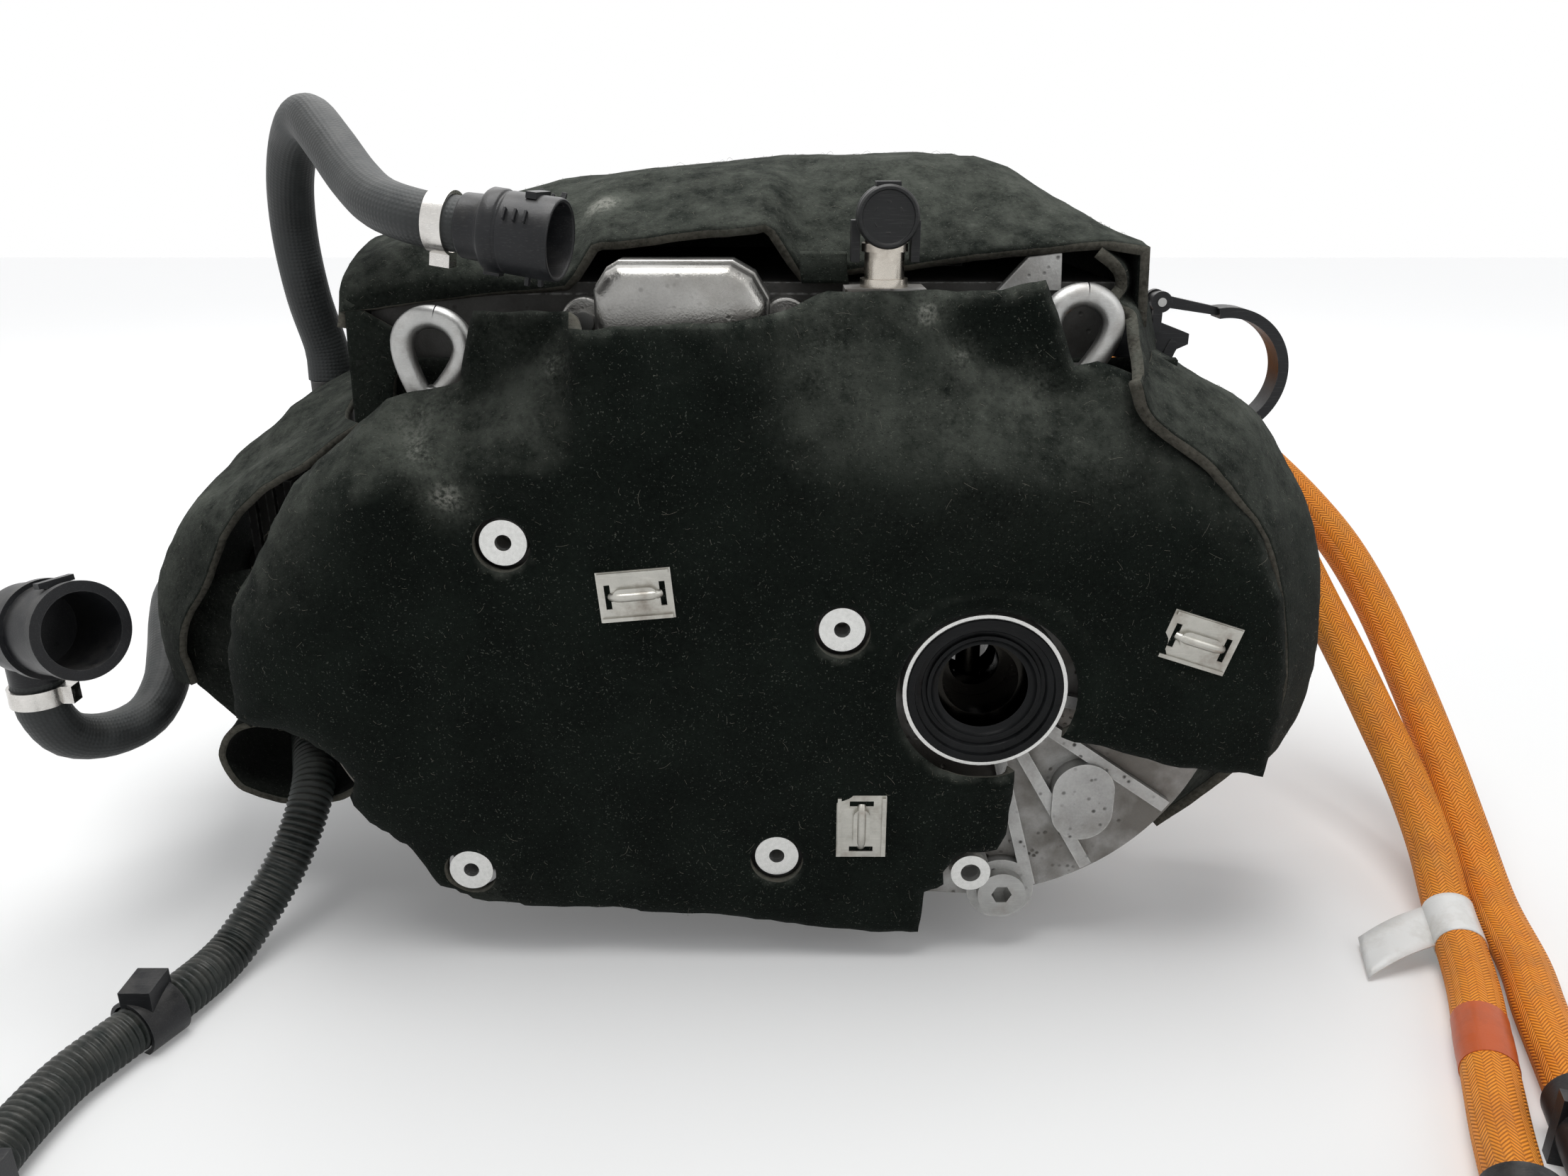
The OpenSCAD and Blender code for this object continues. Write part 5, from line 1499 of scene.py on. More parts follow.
@dataclass
class CableTrim:
    """The bare tag and the tape wound round the front cable."""

    line: list[Vector]
    cable_r: float = 0.013
    tag_from: float = 0.458
    tag_to: float = 0.491
    tag_t: float = 0.0006
    flap_l: float = 0.037
    flap_curl: float = 0.004
    flap_drop: float = 0.012
    flap_skew: float = 0.024
    tape_from: float = 0.553
    tape_to: float = 0.591
    tape_t: float = 0.0004
    overlap: float = 0.008

    def build(self) -> list[Piece]:
        """Makes the tag and the tape."""
        return [self.tag(), self.tape()]

    def tag(self) -> Piece:
        """A bare sleeve of film whose two ends are pressed together into a flap.

        Returns:
            The tag.
        """
        skin = Skin()
        wrap = stretch(self.line, self.tag_from, self.tag_to, 0.003)
        skin.tube(wrap, lambda s: self.cable_r + self.tag_t, 32, caps=False)
        skin.tube(wrap, lambda s: self.cable_r + 0.0001, 32, caps=False)
        middle, heading = along(self.line, (self.tag_from + self.tag_to) / 2)
        axes = Axes.aimed(middle, heading)
        half = (self.tag_to - self.tag_from) / 2
        rows = []
        for i in range(13):
            t = i / 12
            reach = self.cable_r + t * self.flap_l
            curl = self.flap_curl * math.sin(2.6 * t) - self.flap_drop * t
            skew = self.flap_skew * t
            rows.append([axes.at(-reach, curl, half * k + skew) for k in (-1.0, -0.5, 0.0, 0.5, 1.0)])
        skin.grid(rows)
        made = skin.piece("bare_wrap_tag", Palette.TAG, node="cable_tag")
        thick = made.modifiers.new("thickness", "SOLIDIFY")
        thick.thickness = self.tag_t
        return made

    def tape(self) -> Piece:
        """Two turns of tape, a little thicker where they overlap.

        Returns:
            The tape.
        """
        skin = Skin()
        wrap = stretch(self.line, self.tape_from, self.tape_to, 0.003)
        middle = (self.tape_to - self.tape_from) / 2

        def radius(travelled: float) -> float:
            """The tape's outer radius at a distance along it."""
            return self.cable_r + self.tape_t * (1.5 if abs(travelled - middle) < self.overlap else 1.0)

        skin.tube(wrap, radius, 32)
        return skin.piece("cable_tape", Palette.TAPE)


@dataclass(frozen=True)
class Swell:
    """A soft rise or hollow pressed into a felt cover."""

    x: float
    z: float
    across: float
    height: float
    lift: float
    turn: float = 0.0

    def at(self, x: np.ndarray, z: np.ndarray) -> np.ndarray:
        """How far the felt stands out at each place.

        Args:
            x: the places' x.
            z: their z.

        Returns:
            The offsets, in metres.
        """
        c, s = polar(1.0, self.turn)
        u = (c * (x - self.x) + s * (z - self.z)) / self.across
        v = (c * (z - self.z) - s * (x - self.x)) / self.height
        return self.lift * np.exp(-(u * u + v * v))


@dataclass(frozen=True)
class Pad:
    """A flat raised or sunk panel with edges of different softness."""

    low: Spot
    high: Spot
    soft: tuple[float, float, float, float]
    lift: float

    def at(self, x: np.ndarray, z: np.ndarray) -> np.ndarray:
        """How far the felt stands out at each place.

        Args:
            x: the places' x.
            z: their z.

        Returns:
            The offsets, in metres.
        """
        left, right, below, above = self.soft
        (x0, z0), (x1, z1) = self.low, self.high
        u = ease(x, x0 - left, x0 + left) * (1 - ease(x, x1 - right, x1 + right))
        v = ease(z, z0 - below, z0 + below) * (1 - ease(z, z1 - above, z1 + above))
        return self.lift * u * v


@dataclass(frozen=True)
class Lean:
    """How the top of a cover leans back, with a crease where it turns upright again."""

    knots: Sequence[Row]

    def at(self, x: np.ndarray, z: np.ndarray) -> np.ndarray:
        """How far the felt stands back at each place, between two heights that change along x.

        Args:
            x: the places' x.
            z: their z.

        Returns:
            The offsets, in metres.
        """
        given = np.array(self.knots)
        low, high, far = (np.interp(x, given[:, 0], given[:, k]) for k in (1, 2, 3))
        return -far * np.clip((z - low) / (high - low), 0.0, 1.0) ** 1.5


@dataclass(frozen=True)
class WornSpot:
    """A rubbed, paler place on a felt cover."""

    place: Point
    reach: float
    amount: float


def worn_spots(*rows: tuple[float, float, float, float, float]) -> list[WornSpot]:
    """Rubbed places from rows of x, y, z and reach, in millimetres, and amount."""
    given = zip(metres(*(row[:4] for row in rows)), rows)
    return [WornSpot(place[:3], place[3], row[4]) for place, row in given]


class Hold(Enum):
    """How a felt cover is held."""

    HUNG = "hung"
    LAID = "laid"
    FOLDED = "folded"


@dataclass(frozen=True)
class Cover:
    """A felt cover's name and solid, its flat blank in metres, how it is held and how rubbed it is."""

    name: str
    node: str
    flat: Spot
    area: float
    held: Hold
    rests_on: tuple[str, ...]
    thickness: float
    rubbed: float = 0.10

    def make(self, skin: Skin, spots: Sequence[WornSpot], *finishes: Finish) -> Piece:
        """Makes the cover, states its blank and gives it its wear and its thickness.

        Args:
            skin: the sheet, one face thick.
            spots: where it is rubbed more.
            finishes: its finishes, of which the second is the cut edge's.

        Returns:
            The cover.
        """
        piece = skin.piece(self.name, *finishes, sharp=70.0)
        area = sum(face.area for face in piece.data.polygons)
        LOG.info("%s has %.4f square metres of felt", self.name, area)
        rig.sheet(piece, flat=self.flat, held=self.held.value, rests_on=list(self.rests_on), area=self.area)
        count = len(piece.data.vertices)
        co = np.empty(count * 3)
        piece.data.vertices.foreach_get("co", co)
        co = co.reshape(-1, 3)
        wear = np.full(count, self.rubbed)
        for spot in spots:
            gap = np.sum((co - np.array(spot.place)) ** 2, axis=1)
            wear += spot.amount * np.exp(-gap / spot.reach ** 2)
        layer = piece.data.attributes.new("wear", "FLOAT", "POINT")
        layer.data.foreach_set("value", np.clip(wear, 0.0, 1.0))
        thick = piece.modifiers.new("thickness", "SOLIDIFY")
        thick.thickness = self.thickness
        thick.offset = -1.0
        thick.use_even_offset = True
        thick.material_offset_rim = 1
        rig.replaces(piece, self.node)
        return piece


def ruffle(point: Vector, scale: float, height: float, seed: float) -> float:
    """A small uneven height that belongs to a place."""
    return height * noise.noise(point * scale + Vector((seed, -seed, 2.0 * seed)))


@dataclass
class FrontFelt:
    """The moulded cover over the front of the gearbox."""

    cover: ClassVar[Cover] = Cover(
        "front_felt_cover", "front_felt", (0.58, 0.385), 0.150, Hold.HUNG, ("gearbox_cover", "felt_clips"),
        0.006, 0.0)
    spacing: float = 0.0045
    lip_r: float = 0.054
    lip_w: float = 0.0045
    lip_h: float = 0.0028
    calm: Spot = (0.004, 0.024)
    outline: ClassVar[list[Row]] = metres(
        (-306, 150, 10, 30), (-268, 160, 4, 12), (-258, 194, 4, 12), (-211, 194, 3, 8),
        (-209, 188, 2, 8), (-125, 192, 2, 8), (-102, 196, 3, 10), (-85, 203, 3, 10), (0, 204, 4, 12),
        (20, 210, 4, 12), (38, 168, 4, 10), (49, 170, 4, 10), (67, 164, 5, 14), (74, 145, 5, 16),
        (110, 116, 5, 18), (131, 92, 5, 18), (149, 52, 5, 18), (157, 9, 5, 18), (157, -16, 5, 18),
        (152, -49, 4, 14), (105, -42, 2, 8), (62, -29, 2, 8), (34, -22, 1, 6), (18, -36, 1, 6),
        (17, -59, 2, 8), (15, -84, 2, 8), (11.5, -93, 1, 6), (4, -94.5, 1, 6), (-5, -94.5, 1, 6),
        (-13, -99, 1, 6), (-17.5, -107, 1, 6), (-17.5, -115, 1, 6), (-28, -122, 3, 10),
        (-30, -148, 3, 10), (-52, -149, 4, 12), (-100, -146, 8, 22), (-150, -140, 10, 26),
        (-275, -135, 12, 28), (-301, -124, 14, 30), (-317, -99, 16, 34), (-336, -85, 18, 34),
        (-347, -69, 18, 32), (-343, -55, 18, 32), (-352, -44, 22, 34), (-366, -37, 28, 40),
        (-381, -33, 32, 44), (-397, -32, 36, 48), (-409, -26, 38, 50), (-410, 5, 40, 52),
        (-404, 38, 40, 52), (-384, 70, 40, 52), (-362, 105, 36, 50))
    bosses: ClassVar[list[Row]] = metres((-247, 83), (-76, 36), (-280, -108), (-110, -99))
    boss_hole: float = 0.0145
    collar_hole: float = 0.0475
    clip_hole: float = 0.0036
    relief: ClassVar[list[Swell | Pad | Lean]] = [
        Lean(metres(
            (-330, 95, 150, 20), (-300, 112, 156, 26), (-270, 116, 150, 25), (-259, 114, 149, 25),
            (-222, 118, 183, 26), (-211, 120, 190, 25), (-208, 140, 200, 6), (-122, 140, 200, 7),
            (-108, 112, 198, 18), (-94, 108, 200, 28), (-40, 108, 205, 28), (-33, 112, 192, 26),
            (-20, 112, 176, 25), (4, 110, 166, 24), (30, 104, 153, 22), (60, 100, 165, 24),
            (80, 85, 150, 20), (130, 60, 110, 6))),
        Swell(-0.292, 0.138, 0.010, 0.010, -0.009),
        Swell(-0.279, 0.116, 0.018, 0.006, 0.005, -42.0),
        Swell(-0.270, 0.098, 0.014, 0.016, -0.004),
        Swell(-0.310, 0.108, 0.030, 0.026, 0.005),
        Swell(-0.236, 0.116, 0.026, 0.026, 0.008),
        Swell(-0.016, 0.116, 0.075, 0.034, 0.011),
        Pad((-0.010, 0.086), (0.003, 0.146), (0.008, 0.008, 0.018, 0.018), 0.0022),
        Swell(-0.120, -0.050, 0.090, 0.060, 0.002),
        Swell(-0.330, 0.000, 0.034, 0.060, 0.004),
        Swell(0.100, -0.010, 0.040, 0.050, 0.003),
        Swell(-0.200, -0.118, 0.030, 0.010, -0.002),
    ]
    worn: ClassVar[list[WornSpot]] = worn_spots(
        (-219, 6, 172, 10, 0.8), (-236, 0, 150, 22, 0.4), (-284, 0, 121, 12, 0.8),
        (-271, -8, 108, 12, 0.9), (-282, 10, 150, 20, 0.45), (-300, 10, 140, 20, 0.4),
        (-245, 15, 190, 16, 0.25), (-36, 16, 194, 10, 0.8), (-18, 12, 174, 8, 0.8),
        (16, 10, 158, 12, 0.55), (-60, 0, 150, 40, 0.22), (-10, -10, 135, 30, 0.18),
        (-88, 6, 176, 20, 0.3), (-360, 10, 90, 26, 0.25), (-270, 0, -128, 20, 0.25),
        (50, 0, 130, 30, 0.2))

    def loop(self) -> np.ndarray:
        """The outline at an even spacing, slightly ragged, with each point's roll and roll width.

        Returns:
            Rows of x, z, roll and roll width.
        """
        rows: list[Row] = []
        given = self.outline
        for a, b in zip(given, given[1:] + given[:1]):
            span = math.dist(a[:2], b[:2])
            count = max(1, round(span / self.spacing))
            for i in range(count):
                t = i / count
                row = [p + (q - p) * t for p, q in zip(a, b)]
                place = Vector((row[0], row[1], 0))
                row[0] += ruffle(place, 90.0, 0.0012, 3.1)
                row[1] += ruffle(place, 90.0, 0.0012, 7.7)
                rows.append(tuple(row))
        return np.array(rows)

    def holes(self) -> list[tuple[Spot, float]]:
        """The round openings, as centre and radius.

        Returns:
            The openings.
        """
        found = [(b, self.boss_hole) for b in self.bosses]
        found += [((x, z), self.clip_hole) for x, z, _ in FELT_CLIPS]
        return found + [((0.0, 0.0), self.collar_hole)]

    def depth(self, x: np.ndarray, z: np.ndarray, loop: np.ndarray) -> np.ndarray:
        """The y of the felt's outer face at each place.

        Args:
            x: the places' x.
            z: their z.
            loop: the outline.

        Returns:
            The y of each place.
        """
        lift = sum(feature.at(x, z) for feature in self.relief)
        calm = np.ones_like(x)
        for (cx, cz), radius in self.holes():
            gap = np.hypot(x - cx, z - cz) - radius
            calm *= ease(gap, *self.calm)
        reach = np.hypot(x, z)
        lip = self.lip_h * np.exp(-((reach - self.lip_r) / self.lip_w) ** 2)
        ends = np.roll(loop, -1, axis=0)
        ab = ends[:, :2] - loop[:, :2]
        best = np.full(x.shape, 9.0)
        roll = np.zeros_like(x)
        width = np.ones_like(x)
        for p, d in zip(loop, ab):
            t = np.clip(((x - p[0]) * d[0] + (z - p[1]) * d[1]) / (d @ d), 0.0, 1.0)
            gap = np.hypot(x - p[0] - t * d[0], z - p[1] - t * d[1])
            nearer = gap < best
            best = np.where(nearer, gap, best)
            roll = np.where(nearer, p[2], roll)
            width = np.where(nearer, p[3], width)
        turn = np.clip(1.0 - best / width, 0.0, 1.0)
        rolled = roll * (1.0 - np.sqrt(np.clip(1.0 - turn * turn, 0.0, 1.0)))
        return FELT_FACE_Y - lift * calm - lip + rolled

    @staticmethod
    def grain(x: float, z: float) -> float:
        """The felt's own unevenness at a place."""
        place = Vector((x, z, 0))
        return ruffle(place, 34.0, 0.0011, 1.3) + ruffle(place, 130.0, 0.0004, 5.2)

    def build(self) -> Piece:
        """Cuts the sheet to its outline, presses the relief into it and gives it thickness.

        Returns:
            The cover.
        """
        loop = self.loop()
        spots = [(p[0], p[1]) for p in loop]
        edges = [(i, (i + 1) % len(spots)) for i in range(len(spots))]
        for (cx, cz), r in self.holes():
            turns = np.linspace(0, 2 * math.pi, max(10, round(r * 2400)), endpoint=False)
            first = len(spots)
            spots += [(cx + r * math.cos(a), cz + r * math.sin(a)) for a in turns]
            edges += [(first + i, first + (i + 1) % len(turns)) for i in range(len(turns))]
        spots += self.inner_spots(loop)
        flat, _, faces, *_ = delaunay_2d_cdt([Vector(s) for s in spots], edges, [], 0, 1e-7)
        x = np.array([v[0] for v in flat])
        z = np.array([v[1] for v in flat])
        y = self.depth(x, z, loop)
        skin = Skin()
        skin.ring(Vector((a, b + self.grain(a, c), c)) for a, b, c in zip(x, y, z))
        middles = np.array([[x[list(f)].mean(), z[list(f)].mean()] for f in faces])
        for corners, keep in zip(faces, self.inside(middles, loop)):
            if keep:
                skin.face(tuple(corners))
        return self.cover.make(skin, self.worn, Palette.FELT, Palette.FELT_EDGE)

    def inner_spots(self, loop: np.ndarray) -> list[Spot]:
        """A staggered grid of places inside the outline and clear of the holes.

        Args:
            loop: the outline.

        Returns:
            The places.
        """
        low, high = loop[:, :2].min(axis=0), loop[:, :2].max(axis=0)
        rows = np.arange(low[1], high[1], self.spacing * 0.87)
        found: list[Spot] = []
        for i, z in enumerate(rows):
            start = low[0] + (self.spacing / 2 if i % 2 else 0.0)
            found += [(x, z) for x in np.arange(start, high[0], self.spacing)]
        grid = np.array(found)
        keep = self.inside(grid, loop)
        margin = self.spacing * 0.55
        for p in loop:
            keep &= np.hypot(grid[:, 0] - p[0], grid[:, 1] - p[1]) > margin
        for (cx, cz), r in self.holes():
            keep &= np.hypot(grid[:, 0] - cx, grid[:, 1] - cz) > r + margin
        return [tuple(p) for p in grid[keep]]

    def inside(self, places: np.ndarray, loop: np.ndarray) -> np.ndarray:
        """Which places lie in the outline and outside every hole.

        Args:
            places: rows of x and z.
            loop: the outline.

        Returns:
            A truth value for each place.
        """
        x, z = places[:, 0], places[:, 1]
        crossings = np.zeros(len(places), int)
        for a, b in zip(loop, np.roll(loop, -1, axis=0)):
            spans = (a[1] > z) != (b[1] > z)
            rise = b[1] - a[1] if b[1] != a[1] else 1e-12
            crossings += spans & (x < a[0] + (b[0] - a[0]) * (z - a[1]) / rise)
        keep = crossings % 2 == 1
        for (cx, cz), r in self.holes():
            keep &= np.hypot(x - cx, z - cz) > r - 1e-5
        return keep


@dataclass
class WrapFelt:
    """The covers beside and above the gearbox: right band, top cover, left cover and wiring sleeve."""

    band: ClassVar[Cover] = Cover(
        "right_felt_band", "side_felt", (0.36, 0.15), 0.045, Hold.LAID, ("gearbox_housing",), 0.006, 0.08)
    top: ClassVar[Cover] = Cover(
        "top_felt_cover", "top_felt", (0.52, 0.40), 0.194, Hold.LAID, ("inverter_lid",), 0.0048)
    left: ClassVar[Cover] = Cover(
        "left_felt_cover", "left_felt", (0.27, 0.25), 0.060, Hold.LAID, ("oil_cooler",), 0.004)
    wiring: ClassVar[Cover] = Cover(
        "wiring_sleeve_felt", "harness_sleeve", (0.24, 0.125), 0.028, Hold.FOLDED, ("wiring_conduit",), 0.004)
    front_edge: ClassVar[list[Row]] = metres(
        (-345, 190), (-217, 203), (-203, 224), (-113, 233), (-96, 208), (-74, 210), (-28, 216),
        (58, 225), (82, 222))
    crest: ClassVar[list[Row]] = metres(
        (-342, 221), (-300, 236), (-234, 251.5), (-165, 260), (-99, 265.5), (-30, 266.5), (2, 265.5),
        (22, 259.5), (50, 243.5), (80, 226))
    top_x: Spot = (-0.336, 0.080)
    top_y: Point = (0.054, 0.150, 0.336)
    top_foot: float = 0.182
    top_sag: float = 0.010
    wall_lean: float = 0.002
    wall_rows: int = 9
    dents: ClassVar[list[Row]] = metres((-5, 88, 16, 14, -4), (20, 76, 12, 10, -3), (-290, 75, 28, 10, 3))
    panel_left: ClassVar[list[Row]] = metres(
        (-333, 56, 196), (-333, 54, 180), (-334, 53, 155), (-334, 52, 124))
    dark_sheets: ClassVar[list[Row]] = metres((-330, -270, -205), (-10, 45, 100))
    panel_right: ClassVar[list[Row]] = metres(
        (-303, 54, 178), (-305, 52, 166), (-311, 50, 152), (-312, 51, 124))

    def build(self) -> list[Piece]:
        """Makes the three covers and the wiring sleeve."""
        return [self.right_band(), self.top_cover(), self.left_cover(), self.sleeve()]

    def right_band(self) -> Piece:
        """A band that carries on from the front cover's right edge, and the tail behind the right eye.

        Returns:
            The band.
        """
        seam = metres(
            (64, -2, 164), (71, -2, 149), (83, -2, 139), (101, -2, 126), (118, -2, 109), (134, -2, 90),
            (145, -2, 67), (154, -2, 36), (158, -2, 8), (157, -1, -18), (151, 0, -48))
        middle = metres(
            (84, 46, 168), (108, 46, 156), (136, 46, 140), (152, 46, 124), (163, 46, 108),
            (178, 46, 84), (187, 46, 60), (192, 46, 30), (194, 46, -4), (191, 46, -30), (183, 46, -52))
        back = metres(
            (96, 106, 167), (123, 106, 152), (154, 106, 135), (169, 106, 120), (179, 106, 104),
            (193, 106, 79), (202, 106, 57), (208, 106, 27), (211, 106, -12), (208, 106, -38),
            (203, 106, -58))
        lip = metres(
            (55, 52, 222), (67, 52, 212), (70, 52, 201), (65, 47, 196), (73, 42, 191), (72, 26, 176),
            (70, 6, 163))
        shoulder = metres(
            (74, 106, 217), (84, 106, 215), (91, 106, 210), (95, 106, 203), (98, 106, 188),
            (102, 104, 172), (104, 100, 160))
        skin = Skin()
        skin.grid(self.crumple(loft([seam, middle, back], 90, 12), 2.7, 0.0016))
        skin.grid(self.crumple(loft([lip, shoulder], 30, 14), 5.9, 0.0016))
        hem = metres((189, 64, -44), (179, 66, -68), (164, 70, -91), (146, 74, -112), (128, 78, -130))
        heel = metres(
            (202, 103, -44), (192, 104, -68), (176, 105, -91), (157, 105, -112), (138, 104, -130))
        skin.grid(self.crumple(loft([hem, heel], 30, 10), 3.3, 0.0010))
        spots = worn_spots((150, 50, 130, 40, 0.25), (195, 90, 50, 30, 0.25), (75, 30, 190, 20, 0.5))
        return self.band.make(skin, spots, Palette.FELT, Palette.FELT_EDGE)

    def crumple(self, rows: list[list[Vector]], seed: float, height: float) -> list[list[Vector]]:
        """Rows of a sheet pushed in and out a little, so that it isn't mould-perfect.

        Args:
            rows: the sheet's rows.
            seed: which pattern it follows.
            height: how far it is pushed, in metres.

        Returns:
            The new rows.
        """
        shifted: list[list[Vector]] = []
        for i, row in enumerate(rows):
            before, after = rows[max(i - 1, 0)], rows[min(i + 1, len(rows) - 1)]
            line: list[Vector] = []
            for k, spot in enumerate(row):
                side = row[min(k + 1, len(row) - 1)] - row[max(k - 1, 0)]
                normal = side.cross(after[k] - before[k])
                normal = normal.normalized() if normal.length > 0 else Vector((0, 0, 0))
                wave = ruffle(spot, 30.0, height, seed) + ruffle(spot, 120.0, height * 0.25, seed + 3.0)
                line.append(spot + normal * wave)
            shifted.append(line)
        return shifted

    def top_line(self, y: float) -> list[Vector]:
        """A line over the top cover from its left foot to its right foot.

        Args:
            y: how far back it lies.

        Returns:
            The line's points.
        """
        front, crest_y, back = self.top_y
        t = clamp((y - front) / (crest_y - front))
        tail = ease(y, back - 0.02, back)
        line: list[Vector] = []
        for x in np.linspace(*self.top_x, 86):
            low, high = height_at(self.front_edge, x), height_at(self.crest, x)
            lift = math.sin(math.pi / 2 * t) ** (0.9 - 0.48 * ease(-x, 0.20, 0.29))
            z = low + (high - low) * lift
            for cx, cy, across, deep, rise in self.dents:
                z += rise * math.exp(-((x - cx) / across) ** 2 - ((y - cy) / deep) ** 2)
            z -= self.top_sag * tail * tail
            place = Vector((x, y, z))
            shift = ruffle(place, 24.0, 0.0024, 4.4) + ruffle(place, 110.0, 0.0005, 6.3)
            line.append(Vector((x, y, z + shift)))
        start = [self.down(line[0], (-self.wall_lean, 0), step) for step in range(self.wall_rows, 0, -1)]
        end = [self.down(line[-1], (self.wall_lean, 0), step) for step in range(1, self.wall_rows + 1)]
        return start + line + end

    def down(self, edge: Vector, lean: Spot, step: int) -> Vector:
        """A place on the wall below the top cover's edge, some steps down to its foot."""
        t = step / self.wall_rows
        return Vector((edge.x + lean[0] * t, edge.y + lean[1] * t, edge.z + (self.top_foot - edge.z) * t))

    def top_cover(self) -> Piece:
        """A moulded lid over the inverter with a cut front edge that steps over the terminal lid.

        Returns:
            The cover.
        """
        front, crest_y, back = self.top_y
        ys = [*np.linspace(front, crest_y, 26), *np.linspace(crest_y, back, 34)[1:]]
        rows = [self.top_line(y) for y in ys]
        last = rows[-1]
        for step in range(1, self.wall_rows + 1):
            rows.append([self.down(edge, (0, self.wall_lean), step) for edge in last])
        skin = Skin()
        skin.grid(rows)
        skin.grid(self.crumple(loft([self.panel_left, self.panel_right], 24, 10), 7.1, 0.0016))
        tongue = [metres((x, 53, 220), (x, 50, 212), (x + 1, 49, 204.5)) for x in (-98, -74)]
        skin.grid(self.crumple(loft(tongue, 10, 10), 8.3, 0.0012))
        # The sheets behind the front cover's top edge are dark felt: painted shade.
        skin.current = DARK_SLOT
        for ends in self.dark_sheets:
            sides = [[(x, 0.0645, 0.100), (x, 0.0640, 0.132), (x, 0.0570, 0.166)] for x in ends]
            skin.grid(loft(sides, 9, 12))
        spots = worn_spots(
            (-200, 90, 236, 14, 0.8), (-130, 55, 230, 12, 0.5), (-50, 120, 260, 50, 0.28),
            (-250, 100, 240, 50, 0.2), (30, 100, 245, 30, 0.3))
        return self.top.make(skin, spots, Palette.FELT, Palette.FELT_EDGE, Palette.FELT_DARK)

    def left_cover(self) -> Piece:
        """The bulging cover round the oil cooler, funnelled out from a loose front edge.

        Returns:
            The cover.
        """
        edge = metres(
            (-331, 46, 134), (-365, 44, 110), (-392, 43, 94), (-408, 43, 76), (-427, 44, 44),
            (-443, 46, 19), (-450, 48, 1), (-446, 50, -20))
        swell = metres(
            (-352, 88, 132), (-392, 88, 111), (-416, 86, 96), (-442, 84, 80), (-459, 84, 58),
            (-472, 84, 30), (-478, 86, 4), (-474, 88, -30))
        hump = metres(
            (-348, 160, 150), (-380, 160, 138), (-414, 160, 118), (-446, 160, 86), (-464, 160, 54),
            (-475, 160, 22), (-478, 160, -6), (-468, 160, -38))
        back = [(x, 0.278, z - 0.004) for x, _, z in hump]
        skin = Skin()
        rows = self.crumple(loft([edge, swell, hump, back], 64, 12), 9.2, 0.0030)
        skin.grid([row[::-1] for row in rows])
        # The funnel's inside is dark felt: painted shade.
        skin.current = DARK_SLOT
        outer = metres((-440, 66, 40), (-454, 66, 6), (-453, 64, -14), (-449, 62, -25))
        inner = metres((-400, 52, 50), (-408, 52, 10), (-412, 54, -20), (-420, 57, -51))
        skin.grid(self.crumple(loft([outer, inner], 24, 12), 6.6, 0.0014))
        spots = worn_spots((-470, 80, 30, 30, 0.4), (-440, 80, 80, 30, 0.35), (-390, 90, 110, 30, 0.3))
        return self.left.make(skin, spots, Palette.FELT, Palette.FELT_EDGE, Palette.FELT_DARK)

    def sleeve(self) -> Piece:
        """A soft open channel of felt that the conduit comes out of.

        Returns:
            The sleeve.
        """
        mouth = metres(
            (-392, 60, -47), (-410, 60, -47), (-428, 60, -51), (-440, 62, -60), (-445, 62, -71),
            (-442, 62, -82), (-433, 60, -94), (-416, 59, -101), (-396, 58, -103), (-374, 56, -100),
            (-358, 52, -90), (-353, 50, -76), (-358, 52, -62), (-372, 56, -51), (-392, 60, -47))
        inner = [(1.05 * x + 0.0165, 0.115, 1.02 * z) for x, _, z in mouth]
        back = [(x - 0.002, 0.174, z) for x, _, z in inner]
        skin = Skin()
        rows = self.crumple(loft([mouth, inner, back], 72, 12), 1.9, 0.0018)
        skin.grid([row[::-1] for row in rows])
        # The sleeve is dark felt throughout: painted shade for its channel.
        return self.wiring.make(skin, [], Palette.FELT_DARK, Palette.FELT_EDGE)


@dataclass
class Eyes:
    """The two forged lifting eyes: teardrop loops whose ends run together into a screwed foot."""

    places: ClassVar[list[Point]] = [(-0.285, 0.040, 0.174), (0.045, 0.040, 0.185)]
    lean: ClassVar[list[float]] = [10.0, 4.0]
    rod: float = 0.0060
    half_width: float = 0.0158
    top: float = 0.0150
    foot: float = -0.030
    collar_r: float = 0.013
    collar_t: float = 0.005
    drop: float = 0.031

    def build(self) -> None:
        """Sweeps both loops and sets each on its collar."""
        t, r, rod = self.collar_t, self.collar_r, self.rod
        collar = [
            (0, -0.010), (rod, -0.010), (rod, 0), (r - 0.001, 0), (r, 0.001), (r, t - 0.0015),
            (r - 0.0015, t), (0.007, t + 0.002), (rod, t + 0.006), (0, t + 0.007)]
        skin = Skin()
        for place, lean in zip(self.places, self.lean):
            axes = Axes.aimed(place, (0, -1, 0)).turned(-lean)
            skin.tube([axes.at(x, y, 0) for x, y in self.loop()], lambda s: rod, 16, caps=False)
            stand = Axes.aimed((place[0], place[1], place[2] - self.drop), (0, 0, 1), (0, 1, 0))
            skin.lathe(stand, collar, 28)
        skin.piece("lifting_eye_loops", Palette.FORGED, sharp=60.0, node="lifting_eyes")

    def loop(self) -> list[Spot]:
        """The teardrop's centreline, round at the top and narrow at the foot.

        Returns:
            Points across and up, from the loop's middle.
        """
        spots: list[Spot] = []
        for k in range(49):
            angle = 2 * math.pi * k / 48
            height = math.cos(angle)
            narrow = 1.0 if height > 0 else 1.0 - 0.62 * (-height) ** 1.6
            y = self.top * height if height > 0 else -self.foot * height
            spots.append((self.half_width * math.sin(angle) * narrow, y))
        return spots


